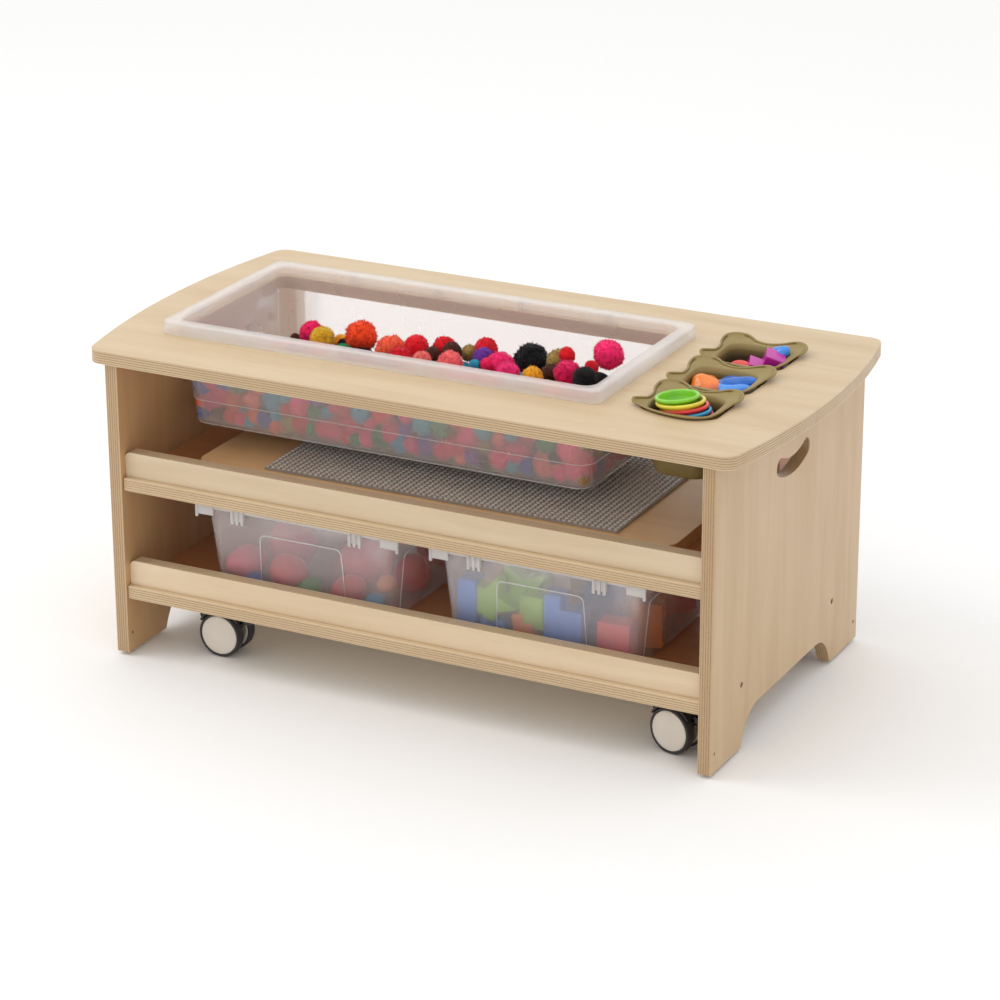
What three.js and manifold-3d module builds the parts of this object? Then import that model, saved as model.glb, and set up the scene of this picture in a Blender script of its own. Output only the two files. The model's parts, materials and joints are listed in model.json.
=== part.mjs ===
// Play table on casters: plywood carcase, hanging tub, three drop-in cups, a cover board
// with two building plates, two lidded storage bins and four braked twin-wheel casters.
// Millimetres. +X along the length, +Y towards the open back, +Z up, origin on the floor
// under the middle of the table.
import * as THREE from "three";
import { mergeVertices } from "three/addons/utils/BufferGeometryUtils.js";
import Module from "manifold-3d";

const wasm = await Module();
wasm.setup();

// ---- driving dimensions -------------------------------------------------------------
const GAP = 0.3;                 // air left between pieces that touch
const PLY = 18;                  // plywood thickness
const CARCASE_LENGTH = 870;      // outside to outside of the side panels
const CARCASE_DEPTH = 488;
const FOOT_CLEARANCE = 5;        // the feet hover just above the floor
const TOP_Z = 431;               // upper face of the table top

const TOP_HALF_LENGTH = 483;     // at the middle of the bowed ends
const TOP_DEPTH = 500;
const TOP_END_RADIUS = 1150;     // bow of the ends
const TOP_CORNER_RADIUS = 20;

const SHELF_DEPTH = 482;
const MIDDLE_SHELF_Z = 255;      // upper face
const BOTTOM_SHELF_Z = 101;
const LIP_HEIGHT = 34;
const LIP_SETBACK = 8;           // lip face behind the shelf's front edge

const ARCH_HALF_WIDTH = 150;     // between the feet, at floor level
const ARCH_HALF_FLAT = 98;       // straight part of the arch's top
const ARCH_RISE = 44;
const HANDLE_Z = 346;            // hand slot: height of its two ends
const HANDLE_HALF_SPAN = 42;
const HANDLE_SAG = 9;
const HANDLE_HALF_WIDTH = 12;

const TUB = { x: -86, y: 1, length: 640, width: 307, corner: 13, wall: 3 };
const TUB_TOP_Z = TOP_Z + 18;
const TUB_BOTTOM_Z = 301;
const TUB_RIM = 15;              // width of the flat rim
const TUB_DRAFT = 11;            // how far each wall leans in by the bottom

const CUP_X = 333;
const CUP_PITCH = 104;           // between the cups, along Y
const CUP_Y = 1;
const CUP = { length: 118, width: 86, corner: 20, wall: 2.4 };
const CUP_FLANGE = 9;
const CUP_DEPTH = 86;            // below the table's upper face
const CUP_FLANGE_TOP = 4;        // above it
const CUP_DRAFT = { length: 12, width: 7 };

const BOARD = { x: 5, length: 690, depth: 375, corner: 28, front: -188 };
const PLATE = { x: 15, size: 256, thickness: 4.8, front: -172 };

const BIN_X = [-171, 178];
const BIN = { length: 286, depth: 372, corner: 17, wall: 2.2, height: 124, draft: 10 };
const BIN_FRONT = -205;          // front of the bin's body at its rim
const LID = { length: 306, depth: 386, corner: 22, skirt: 9, height: 129.5 };
const LID_TAB = { length: 10, width: 24, thickness: 6, reach: 3.5 };
const CLIP = { offset: 88, width: 20, depth: 3.2, height: 24 };

const CASTER_X = 335;            // swivel axes
const CASTER_Y = 170;
const TRAIL = 28;                // axle behind the swivel axis
const WHEEL_RADIUS = 31;
const WHEEL_WIDTH = 15;
const WHEEL_INNER_FACE = 7;      // from the caster's middle plane
const HUB_RADIUS = 27.2;
const AXLE_RADIUS = 4;
const STEM_RADIUS = 3.5;
const LEVER_PIVOT = { x: 25, z: 52 };   // from the axle along the trail; height
// Swivel angle of each caster as it stands, degrees about +Z.
const CASTERS = [
  { name: "front_left", sx: -1, sy: -1, turn: 0 },
  { name: "front_right", sx: 1, sy: -1, turn: -14 },
  { name: "rear_left", sx: -1, sy: 1, turn: 7 },
  { name: "rear_right", sx: 1, sy: 1, turn: -9 },
];

const SHELF_SCREW_Y = 151;
const SCREW = { head: 3.8, headLength: 4, shank: 2.2, length: 42 };
const PILOT_DEPTH = 28;          // of the screws' holes into a shelf's end
const FOOT_HOLE = { y: 233, z: 31, radius: 2.5 };
const BRACKET = { y: 120, leg: 26, width: 22, thickness: 2 };

// ---- materials ------------------------------------------------------------------------
function material(color, roughness, metalness = 0) {
  return new THREE.MeshStandardMaterial({ color, roughness, metalness });
}

const MATERIALS = {
  birch: material(0xdcc7a0, 0.45),
  frosted: material(0xe6e2de, 0.4),
  olive: material(0x8d8248, 0.6),
  plate: material(0x9a968f, 0.5),
  lid: material(0xf0eeea, 0.45),
  disc: material(0xc6bcb0, 0.45),
  tyre: material(0x3a3638, 0.8),
  housing: material(0x2c2a2c, 0.55),
  steel: material(0x9a9a9c, 0.35, 0.9),
};

// ---- solids ---------------------------------------------------------------------------
function toSolid(geometry) {
  const bare = geometry.clone();
  bare.deleteAttribute("normal");
  bare.deleteAttribute("uv");
  const merged = mergeVertices(bare, 1e-4);
  return new wasm.Manifold(new wasm.Mesh({
    numProp: 3,
    vertProperties: new Float32Array(merged.attributes.position.array),
    triVerts: new Uint32Array(merged.index.array),
  }));
}

function toGeometry(solid) {
  const mesh = solid.getMesh();
  const geometry = new THREE.BufferGeometry();
  geometry.setAttribute("position", new THREE.BufferAttribute(mesh.vertProperties, 3));
  geometry.setIndex(new THREE.BufferAttribute(mesh.triVerts, 1));
  geometry.computeVertexNormals();
  return geometry;
}

function cut(geometry, ...tools) {
  return toGeometry(tools.reduce((left, tool) => left.subtract(toSolid(tool)), toSolid(geometry)));
}

function join(...pieces) {
  return toGeometry(pieces.map(toSolid).reduce((left, right) => left.add(right)));
}

function box(x0, x1, y0, y1, z0, z1) {
  const geometry = new THREE.BoxGeometry(x1 - x0, y1 - y0, z1 - z0);
  return geometry.translate((x0 + x1) / 2, (y0 + y1) / 2, (z0 + z1) / 2);
}

// A shape drawn in XY, standing from z0 to z1.
function slab(shape, z0, z1, curveSegments = 6) {
  const geometry = new THREE.ExtrudeGeometry(shape, {
    depth: z1 - z0, bevelEnabled: false, curveSegments,
  });
  return geometry.translate(0, 0, z0);
}

// A shape drawn with (y, z), spanning x0 to x1.
function sideSlab(shape, x0, x1, curveSegments = 6) {
  const geometry = new THREE.ExtrudeGeometry(shape, {
    depth: x1 - x0, bevelEnabled: false, curveSegments,
  });
  const toYZ = new THREE.Matrix4().set(0, 0, 1, x0, 1, 0, 0, 0, 0, 1, 0, 0, 0, 0, 0, 1);
  return geometry.applyMatrix4(toYZ);
}

// A shape drawn with (x, z), spanning y from -width/2 to width/2.
function bladeSlab(shape, width, curveSegments = 6) {
  const geometry = new THREE.ExtrudeGeometry(shape, {
    depth: width, bevelEnabled: false, curveSegments,
  });
  return geometry.rotateX(Math.PI / 2).translate(0, width / 2, 0);
}

function rodX(radius, x0, x1, y, z, segments = 10) {
  const geometry = new THREE.CylinderGeometry(radius, radius, x1 - x0, segments);
  return geometry.rotateZ(Math.PI / 2).translate((x0 + x1) / 2, y, z);
}

function rodY(radius, y0, y1, segments = 16) {
  const geometry = new THREE.CylinderGeometry(radius, radius, y1 - y0, segments);
  return geometry.translate(0, (y0 + y1) / 2, 0);
}

function rodZ(radius, z0, z1, segments = 20) {
  const geometry = new THREE.CylinderGeometry(radius, radius, z1 - z0, segments);
  return geometry.rotateX(Math.PI / 2).translate(0, 0, (z0 + z1) / 2);
}

function roundedRectangle(x, y, length, width, radius) {
  const shape = new THREE.Shape();
  const [x0, x1] = [x - length / 2, x + length / 2];
  const [y0, y1] = [y - width / 2, y + width / 2];
  shape.moveTo(x0 + radius, y0);
  shape.lineTo(x1 - radius, y0);
  shape.absarc(x1 - radius, y0 + radius, radius, -Math.PI / 2, 0);
  shape.absarc(x1 - radius, y1 - radius, radius, 0, Math.PI / 2);
  shape.absarc(x0 + radius, y1 - radius, radius, Math.PI / 2, Math.PI);
  shape.absarc(x0 + radius, y0 + radius, radius, Math.PI, 1.5 * Math.PI);
  shape.closePath();
  return shape;
}

// ---- lofted shells: rounded-rectangle rings joined one to the next ----------------------
const CORNER_STEPS = 4;

function ring(length, width, radius, z) {
  const points = [];
  for (let corner = 0; corner < 4; corner++) {
    const sx = corner === 0 || corner === 3 ? 1 : -1;
    const sy = corner < 2 ? 1 : -1;
    for (let step = 0; step <= CORNER_STEPS; step++) {
      const angle = (corner + step / CORNER_STEPS) * Math.PI / 2;
      points.push(new THREE.Vector3(
        sx * (length / 2 - radius) + radius * Math.cos(angle),
        sy * (width / 2 - radius) + radius * Math.sin(angle),
        z,
      ));
    }
  }
  return points;
}

// Rings run from the underside's middle, out and up, over the rim and down the inside, so
// the first and the last are the flat caps and the skin between them is closed.
function loft(rings) {
  const count = rings[0].length;
  const positions = rings.flat().flatMap((point) => [point.x, point.y, point.z]);
  const index = [];
  for (let r = 0; r + 1 < rings.length; r++) {
    for (let i = 0; i < count; i++) {
      const j = (i + 1) % count;
      const [a, b, c, d] = [r * count + i, r * count + j, (r + 1) * count + j, (r + 1) * count + i];
      index.push(a, b, c, a, c, d);
    }
  }
  const last = (rings.length - 1) * count;
  for (let i = 1; i + 1 < count; i++) {
    index.push(0, i + 1, i);
    index.push(last, last + i, last + i + 1);
  }
  const geometry = new THREE.BufferGeometry();
  geometry.setAttribute("position", new THREE.Float32BufferAttribute(positions, 3));
  geometry.setIndex(index);
  geometry.computeVertexNormals();
  return geometry;
}

// ---- carcase ----------------------------------------------------------------------------
const panelOuter = CARCASE_LENGTH / 2;
const panelInner = panelOuter - PLY;
const topUnderside = TOP_Z - PLY;
const shelfFront = -SHELF_DEPTH / 2;
const lipFront = shelfFront + LIP_SETBACK;

function topOutline() {
  const halfDepth = TOP_DEPTH / 2;
  const centre = TOP_HALF_LENGTH - TOP_END_RADIUS;
  const r = TOP_CORNER_RADIUS;
  // The corner arc touches the straight edge and the bowed end from inside.
  const cornerY = halfDepth - r;
  const cornerX = centre + Math.sqrt((TOP_END_RADIUS - r) ** 2 - cornerY ** 2);
  const swing = Math.atan2(cornerY, cornerX - centre);
  const shape = new THREE.Shape();
  shape.moveTo(-cornerX, -halfDepth);
  shape.lineTo(cornerX, -halfDepth);
  shape.absarc(cornerX, -cornerY, r, -Math.PI / 2, -swing);
  shape.absarc(centre, 0, TOP_END_RADIUS, -swing, swing);
  shape.absarc(cornerX, cornerY, r, swing, Math.PI / 2);
  shape.absarc(-cornerX, cornerY, r, Math.PI / 2, Math.PI - swing);
  shape.absarc(-centre, 0, TOP_END_RADIUS, Math.PI - swing, Math.PI + swing);
  shape.absarc(-cornerX, -cornerY, r, Math.PI + swing, 1.5 * Math.PI);
  shape.closePath();
  return shape;
}

const cupCentres = [-1, 0, 1].map((step) => CUP_Y + step * CUP_PITCH);

function tableTop() {
  const shape = topOutline();
  const clear = 2 * (TUB_RIM - 2);
  shape.holes.push(roundedRectangle(TUB.x, TUB.y, TUB.length - clear, TUB.width - clear, 12));
  for (const y of cupCentres) {
    const reach = 2 * (CUP_FLANGE - 2.5);
    shape.holes.push(roundedRectangle(CUP_X, y, CUP.length - reach, CUP.width - reach, 14));
  }
  return slab(shape, topUnderside, TOP_Z, 6);
}

function handleSlot() {
  // The slot follows an arc that sags between its two round ends.
  const radius = (HANDLE_HALF_SPAN ** 2 + HANDLE_SAG ** 2) / (2 * HANDLE_SAG);
  const centreZ = HANDLE_Z + radius - HANDLE_SAG;
  const half = Math.asin(HANDLE_HALF_SPAN / radius);
  const [start, end] = [-Math.PI / 2 - half, -Math.PI / 2 + half];
  const w = HANDLE_HALF_WIDTH;
  const shape = new THREE.Shape();
  shape.absarc(0, centreZ, radius + w, start, end);
  shape.absarc(HANDLE_HALF_SPAN, HANDLE_Z, w, end, end + Math.PI);
  shape.absarc(0, centreZ, radius - w, end, start, true);
  shape.absarc(-HANDLE_HALF_SPAN, HANDLE_Z, w, start + Math.PI, start + 2 * Math.PI);
  shape.closePath();
  return shape;
}

function panelOutline() {
  const half = CARCASE_DEPTH / 2;
  const archZ = FOOT_CLEARANCE + ARCH_RISE;
  const shape = new THREE.Shape();
  shape.moveTo(-half, FOOT_CLEARANCE);
  shape.lineTo(-ARCH_HALF_WIDTH, FOOT_CLEARANCE);
  shape.quadraticCurveTo(-ARCH_HALF_WIDTH + 16, archZ, -ARCH_HALF_FLAT, archZ);
  shape.lineTo(ARCH_HALF_FLAT, archZ);
  shape.quadraticCurveTo(ARCH_HALF_WIDTH - 16, archZ, ARCH_HALF_WIDTH, FOOT_CLEARANCE);
  shape.lineTo(half, FOOT_CLEARANCE);
  shape.lineTo(half, topUnderside - GAP);
  shape.lineTo(-half, topUnderside - GAP);
  shape.closePath();
  shape.holes.push(handleSlot());
  return shape;
}

const screwZ = BOTTOM_SHELF_Z - PLY / 2;

function sidePanel(side) {
  const [x0, x1] = side > 0 ? [panelInner, panelOuter] : [-panelOuter, -panelInner];
  const headEnd = side * (panelOuter - SCREW.headLength - 1);
  const tools = [];
  for (const sy of [-1, 1]) {
    const screwY = sy * SHELF_SCREW_Y;
    const far = side * (panelOuter + 1);
    tools.push(rodX(SCREW.shank + GAP, x0 - 1, x1 + 1, screwY, screwZ));
    tools.push(rodX(SCREW.head + GAP, Math.min(headEnd, far), Math.max(headEnd, far), screwY, screwZ));
    tools.push(rodX(FOOT_HOLE.radius, x0 - 1, x1 + 1, sy * FOOT_HOLE.y, FOOT_HOLE.z));
  }
  return cut(sideSlab(panelOutline(), x0, x1), ...tools);
}

function shelf(upperZ, screwed) {
  const half = panelInner - GAP;
  const board = box(-half, half, shelfFront, -shelfFront, upperZ - PLY, upperZ);
  if (!screwed) return board;
  const tools = [];
  for (const side of [-1, 1]) {
    for (const sy of [-1, 1]) {
      const [near, far] = [side * (half - PILOT_DEPTH), side * (half + 1)];
      const reach = [Math.min(near, far), Math.max(near, far)];
      tools.push(rodX(SCREW.shank + GAP, ...reach, sy * SHELF_SCREW_Y, screwZ));
    }
  }
  return cut(board, ...tools);
}

// The lip stands on the shelf's front edge; its upper ends are rounded.
function lip(shelfZ) {
  const half = panelInner - GAP;
  const [z0, z1] = [shelfZ + GAP, shelfZ + LIP_HEIGHT];
  const r = 8;
  const shape = new THREE.Shape();
  shape.moveTo(-half, z0);
  shape.lineTo(half, z0);
  shape.lineTo(half, z1 - r);
  shape.absarc(half - r, z1 - r, r, 0, Math.PI / 2);
  shape.absarc(-half + r, z1 - r, r, Math.PI / 2, Math.PI);
  shape.closePath();
  return bladeSlab(shape, PLY).translate(0, lipFront + PLY / 2, 0);
}

function screw(side, y) {
  const tip = panelOuter - 1;
  const neck = tip - SCREW.headLength + GAP;
  const points = [
    [0, tip], [SCREW.head, tip], [SCREW.head, neck], [SCREW.shank, neck],
    [SCREW.shank, tip - SCREW.length], [0, tip - SCREW.length - 3],
  ].map(([radius, along]) => new THREE.Vector2(radius, along)).reverse();
  const geometry = new THREE.LatheGeometry(points, 10).rotateZ(-side * Math.PI / 2);
  return geometry.translate(0, y, screwZ);
}

function bracket(side, y) {
  const { leg, width, thickness } = BRACKET;
  const [x, z] = [panelInner - GAP, topUnderside - GAP];
  const shape = new THREE.Shape();
  shape.moveTo(x, z);
  shape.lineTo(x - leg, z);
  shape.lineTo(x - leg, z - thickness);
  shape.lineTo(x - thickness, z - thickness);
  shape.lineTo(x - thickness, z - leg);
  shape.lineTo(x, z - leg);
  shape.closePath();
  const geometry = bladeSlab(shape, width);
  if (side < 0) geometry.rotateZ(Math.PI);
  return geometry.translate(0, y, 0);
}

// ---- tub, cups and bins -------------------------------------------------------------------
function tub() {
  const { length, width, corner, wall } = TUB;
  const skirtZ = TOP_Z + GAP;
  const at = (inset, z, radius) => ring(length - 2 * inset, width - 2 * inset, radius, z);
  const foot = TUB_RIM + TUB_DRAFT;
  return loft([
    at(foot + 8, TUB_BOTTOM_Z, 16),
    at(foot + 2, TUB_BOTTOM_Z + 2, 20),
    at(foot, TUB_BOTTOM_Z + 8, 22),
    at(TUB_RIM, TUB_TOP_Z - wall, corner),
    at(wall, TUB_TOP_Z - wall, corner - 1),
    at(wall, skirtZ, corner - 1),
    at(0, skirtZ, corner),
    at(1, TUB_TOP_Z - 1.5, corner),
    at(2.5, TUB_TOP_Z, corner - 1),
    at(TUB_RIM + wall - 1, TUB_TOP_Z, corner),
    at(TUB_RIM + wall, TUB_TOP_Z - 2, corner),
    at(foot + wall, TUB_BOTTOM_Z + 9, 20),
    at(foot + wall + 6, TUB_BOTTOM_Z + wall, 14),
  ]).translate(TUB.x, TUB.y, 0);
}

function cup() {
  const { length, width, corner, wall } = CUP;
  const seat = TOP_Z + GAP;
  const floor = TOP_Z - CUP_DEPTH;
  const body = CUP_FLANGE;
  const at = (insetX, insetY, z, radius) =>
    ring(length - 2 * insetX, width - 2 * insetY, radius, z);
  return loft([
    at(body + CUP_DRAFT.length + 5, body + CUP_DRAFT.width + 5, floor, 8),
    at(body + CUP_DRAFT.length, body + CUP_DRAFT.width, floor + 5, 12),
    at(body + 1, body + 1, seat, 14),
    at(0, 0, seat, corner),
    at(0, 0, TOP_Z + CUP_FLANGE_TOP, corner),
    at(body, body, TOP_Z + CUP_FLANGE_TOP, 15),
    at(body + wall, body + wall, TOP_Z + 1, 14),
    at(body + CUP_DRAFT.length + wall, body + CUP_DRAFT.width + wall, floor + 6, 11),
    at(body + CUP_DRAFT.length + 7, body + CUP_DRAFT.width + 7, floor + wall, 7),
  ]).translate(CUP_X, 0, 0);
}

function bin(x) {
  const { length, depth, corner, wall, height, draft } = BIN;
  const floor = BOTTOM_SHELF_Z + GAP;
  const at = (inset, z, radius) => ring(length - 2 * inset, depth - 2 * inset, radius, z);
  return loft([
    at(draft + 6, floor, corner - 6),
    at(draft, floor + 6, corner),
    at(0, floor + height - 6, corner),
    at(-3, floor + height - 6, corner + 1),
    at(-3, floor + height, corner + 1),
    at(wall, floor + height, corner - wall),
    at(draft + wall, floor + 6, corner - wall),
    at(draft + 6 + wall, floor + wall, corner - 6),
  ]).translate(x, BIN_FRONT + depth / 2, 0);
}

// The lid: a tray with a skirt, a tab past each end at the front and clips down the front.
function binLid(x) {
  const { length, depth, corner, skirt, height } = LID;
  const upper = BOTTOM_SHELF_Z + height;
  const seat = BOTTOM_SHELF_Z + GAP + BIN.height + GAP;
  const at = (inset, z, radius) => ring(length - 2 * inset, depth - 2 * inset, radius, z);
  const cover = loft([
    at(9, seat, corner - 4),
    at(2.4, seat, corner - 2),
    at(2.4, upper - skirt, corner - 2),
    at(0, upper - skirt, corner),
    at(0, upper - 1.5, corner),
    at(1.5, upper, corner - 1),
    at(8, upper, corner - 4),
    at(9, upper - 1.6, corner - 5),
  ]);
  const tabs = [-1, 1].map((side) => {
    const middle = side * (length / 2 + LID_TAB.reach);
    const shape = roundedRectangle(middle, -depth / 2 + 24, LID_TAB.length, LID_TAB.width, 4.5);
    return slab(shape, upper - skirt, upper - skirt + LID_TAB.thickness, 4);
  });
  const clips = [-1, 1].map((side) => {
    const middle = side * CLIP.offset;
    const front = -depth / 2 - CLIP.depth / 2;
    return box(middle - CLIP.width / 2, middle + CLIP.width / 2, front, front + CLIP.depth,
      upper - CLIP.height, upper - 2);
  });
  const y = BIN_FRONT + BIN.depth / 2;
  return join(cover, ...clips, ...tabs).translate(x, y, 0);
}

// ---- casters: built with the swivel axis at the origin and the wheels trailing to +X --------
function casterPlate() {
  const underShelf = BOTTOM_SHELF_Z - PLY - GAP;
  const points = [
    [0, underShelf], [24, underShelf], [24, underShelf - 2.4], [13, underShelf - 4],
    [13, underShelf - 7], [STEM_RADIUS, underShelf - 7], [STEM_RADIUS, 54], [0, 53],
  ].map(([radius, z]) => new THREE.Vector2(radius, z)).reverse();
  return new THREE.LatheGeometry(points, 20).rotateX(Math.PI / 2);
}

function casterHousing() {
  const hoodWidth = 2 * (WHEEL_INNER_FACE + WHEEL_WIDTH) - 6;
  const [inner, outer] = [WHEEL_RADIUS + 1.6, WHEEL_RADIUS + 4.2];
  const [from, to] = [THREE.MathUtils.degToRad(38), THREE.MathUtils.degToRad(152)];
  const hood = new THREE.Shape();
  hood.absarc(TRAIL, WHEEL_RADIUS, outer, from, to);
  hood.absarc(TRAIL, WHEEL_RADIUS, inner, to, from, true);
  hood.closePath();
  const web = new THREE.Shape();
  web.moveTo(-11, 74.5);
  web.lineTo(-11, 50);
  web.quadraticCurveTo(-8, 32, 14, 20);
  web.absarc(TRAIL, WHEEL_RADIUS, 15, -2.4, -0.3);
  web.lineTo(TRAIL + 24, 40);
  web.lineTo(TRAIL + 26.5, 50);
  web.absarc(TRAIL, WHEEL_RADIUS, 33.5, 0.62, 1.5);
  web.lineTo(11, 74.5);
  web.closePath();
  const head = rodZ(13.5, 63.5, 74.5, 16);
  const bore = rodZ(STEM_RADIUS + GAP, 52, 80, 16);
  const axleBore = rodY(AXLE_RADIUS + 0.1, -30, 30).translate(TRAIL, 0, WHEEL_RADIUS);
  const leverSlot = box(TRAIL + LEVER_PIVOT.x - 6.5, TRAIL + 60, -8, 8, 46, 60);
  const body = join(bladeSlab(web, 11), bladeSlab(hood, hoodWidth, 8), head);
  return cut(body, bore, axleBore, leverSlot);
}

function wheelProfile(points, segments) {
  const profile = points.map(([radius, y]) => new THREE.Vector2(radius, y));
  return new THREE.LatheGeometry(profile, segments);
}

const WHEEL_STEPS = 24;

function tyre() {
  const [inner, outer] = [HUB_RADIUS + GAP, WHEEL_RADIUS];
  const half = WHEEL_WIDTH / 2;
  const profile = [
    [inner, -half], [outer - 1.6, -half], [outer, -half + 1.6], [outer, half - 1.6],
    [outer - 1.6, half], [inner, half], [inner, -half],
  ];
  return wheelProfile(profile, WHEEL_STEPS);
}

// The hub's outer face (+Y) is a slightly domed disc; its inner side holds the axle bore.
function hub() {
  const half = WHEEL_WIDTH / 2 - 0.4;
  const bore = AXLE_RADIUS + GAP;
  const profile = [
    [0, half - 5], [bore, half - 5], [bore, -half], [HUB_RADIUS, -half],
    [HUB_RADIUS, half - 1.2], [HUB_RADIUS - 1.6, half + 0.6], [0, half + 1.8],
  ];
  return wheelProfile(profile, WHEEL_STEPS);
}

function axle() {
  const reach = WHEEL_INNER_FACE + WHEEL_WIDTH - 6;
  return rodY(AXLE_RADIUS, -reach, reach, 14);
}

// A narrow arm between the wheels and a wider pedal past them.
function brakeLever() {
  const { x, z } = LEVER_PIVOT;
  const arm = new THREE.Shape();
  arm.moveTo(x - 4, z - 3);
  arm.lineTo(x + 12, z - 3);
  arm.lineTo(x + 12, z + 3);
  arm.lineTo(x - 4, z + 3);
  arm.closePath();
  const pedal = new THREE.Shape();
  pedal.moveTo(x + 8, z - 3.5);
  pedal.lineTo(x + 21, z - 1.5);
  pedal.quadraticCurveTo(x + 25, z + 1, x + 21, z + 3);
  pedal.lineTo(x + 8, z + 4.5);
  pedal.closePath();
  return join(bladeSlab(arm, 12), bladeSlab(pedal, 24, 4)).translate(TRAIL, 0, 0);
}

// ---- assembly -----------------------------------------------------------------------------
const table = new THREE.Group();
table.name = "play_table";

function add(parent, name, geometry, look) {
  const mesh = new THREE.Mesh(geometry, MATERIALS[look]);
  mesh.name = name;
  parent.add(mesh);
  return mesh;
}

function addCarcase() {
  add(table, "table_top", tableTop(), "birch");
  add(table, "side_panel_left", sidePanel(-1), "birch");
  add(table, "side_panel_right", sidePanel(1), "birch");
  add(table, "middle_shelf", shelf(MIDDLE_SHELF_Z, false), "birch");
  add(table, "bottom_shelf", shelf(BOTTOM_SHELF_Z, true), "birch");
  add(table, "middle_lip", lip(MIDDLE_SHELF_Z), "birch");
  add(table, "bottom_lip", lip(BOTTOM_SHELF_Z), "birch");
  for (const [side, sideName] of [[-1, "left"], [1, "right"]]) {
    for (const [sy, endName] of [[-1, "front"], [1, "rear"]]) {
      const place = `${sideName}_${endName}`;
      add(table, `shelf_screw_${place}`, screw(side, sy * SHELF_SCREW_Y), "steel");
      add(table, `top_bracket_${place}`, bracket(side, sy * BRACKET.y), "steel");
    }
  }
}

function addContainers() {
  add(table, "tub", tub(), "frosted");
  ["front", "middle", "rear"].forEach((place, i) => {
    add(table, `cup_${place}`, cup(), "olive").position.y = cupCentres[i];
  });
  ["left", "right"].forEach((place, i) => {
    add(table, `bin_${place}`, bin(BIN_X[i]), "frosted");
    add(table, `bin_lid_${place}`, binLid(BIN_X[i]), "lid");
  });
}

function addCoverBoard() {
  const { x, length, depth, corner, front } = BOARD;
  const z = MIDDLE_SHELF_Z + GAP;
  const shape = roundedRectangle(x, front + depth / 2, length, depth, corner);
  add(table, "cover_board", slab(shape, z, z + PLY), "birch");
  const plateZ = z + PLY + GAP;
  [["left", -1], ["right", 1]].forEach(([place, side]) => {
    const middle = PLATE.x + side * PLATE.size / 2;
    const half = PLATE.size / 2 - GAP;
    const geometry = box(middle - half, middle + half, PLATE.front, PLATE.front + PLATE.size,
      plateZ, plateZ + PLATE.thickness);
    add(table, `brick_plate_${place}`, geometry, "plate");
  });
}

function addCaster({ name, sx, sy, turn }) {
  const caster = new THREE.Group();
  caster.position.set(sx * CASTER_X, sy * CASTER_Y, 0);
  caster.rotation.z = THREE.MathUtils.degToRad(turn);
  table.add(caster);
  add(caster, `caster_plate_${name}`, casterPlate(), "steel");
  add(caster, `caster_housing_${name}`, casterHousing(), "housing");
  add(caster, `brake_lever_${name}`, brakeLever(), "housing");
  const wheels = new THREE.Group();
  wheels.position.set(TRAIL, 0, WHEEL_RADIUS);
  caster.add(wheels);
  add(wheels, `axle_${name}`, axle(), "steel");
  for (const [side, letter] of [[-1, "a"], [1, "b"]]) {
    const y = side * (WHEEL_INNER_FACE + WHEEL_WIDTH / 2);
    add(wheels, `tyre_${name}_${letter}`, tyre(), "tyre").position.y = y;
    const disc = add(wheels, `hub_${name}_${letter}`, hub(), "disc");
    disc.position.y = y;
    if (side < 0) disc.rotation.z = Math.PI;
  }
}

addCarcase();
addContainers();
addCoverBoard();
CASTERS.forEach(addCaster);

export default table;
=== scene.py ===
"""Looks of the plywood play table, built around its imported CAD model. Metres, +Z up."""
import json
import math
import random

import bmesh
import bpy
import numpy as np
from mathutils import Matrix, Vector


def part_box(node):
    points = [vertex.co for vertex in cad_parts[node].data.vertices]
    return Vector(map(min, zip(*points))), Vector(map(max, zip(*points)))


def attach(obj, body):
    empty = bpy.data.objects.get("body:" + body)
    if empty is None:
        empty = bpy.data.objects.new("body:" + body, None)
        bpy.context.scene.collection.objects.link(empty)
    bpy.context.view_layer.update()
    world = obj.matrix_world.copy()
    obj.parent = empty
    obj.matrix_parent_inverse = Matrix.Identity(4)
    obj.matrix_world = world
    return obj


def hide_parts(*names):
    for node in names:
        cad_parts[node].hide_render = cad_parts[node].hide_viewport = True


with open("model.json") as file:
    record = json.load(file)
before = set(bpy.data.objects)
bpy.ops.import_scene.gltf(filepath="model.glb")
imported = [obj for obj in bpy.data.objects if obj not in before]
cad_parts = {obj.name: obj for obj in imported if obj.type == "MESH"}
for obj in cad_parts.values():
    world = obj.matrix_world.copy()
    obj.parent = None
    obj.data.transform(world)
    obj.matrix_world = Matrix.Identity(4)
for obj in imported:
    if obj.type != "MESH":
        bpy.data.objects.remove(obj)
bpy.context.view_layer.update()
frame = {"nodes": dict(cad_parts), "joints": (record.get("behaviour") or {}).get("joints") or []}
NODES = frame["nodes"]
JOINTS = {joint["name"]: joint for joint in frame["joints"]}
MM = 0.001

# ---- driving values -------------------------------------------------------------------
CAMERA_PLACE = Vector((1.957, -3.791, 1.863))
CAMERA_TURN = (27.08, 21.15, -0.18)      # azimuth, elevation, roll in degrees
SENSOR = 36.0
FOCAL_LENGTH = 123.84

WORLD_LIGHT = 0.97

PLY_COUNT = 11
EDGE_ROUND = {"table_top": 5.5, "cover_board": 3.0}
EDGE_ROUND_DEFAULT = 2.2                 # mm, eased edges of the other boards
PAINTED_SHADE_SKIN = 0.12 * MM                    # how deep the painted shade on a side panel's inner face goes
STUD_PITCH = 8.0 * MM
STUD_RADIUS = 2.4 * MM
STUD_HEIGHT = 1.7 * MM

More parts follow.
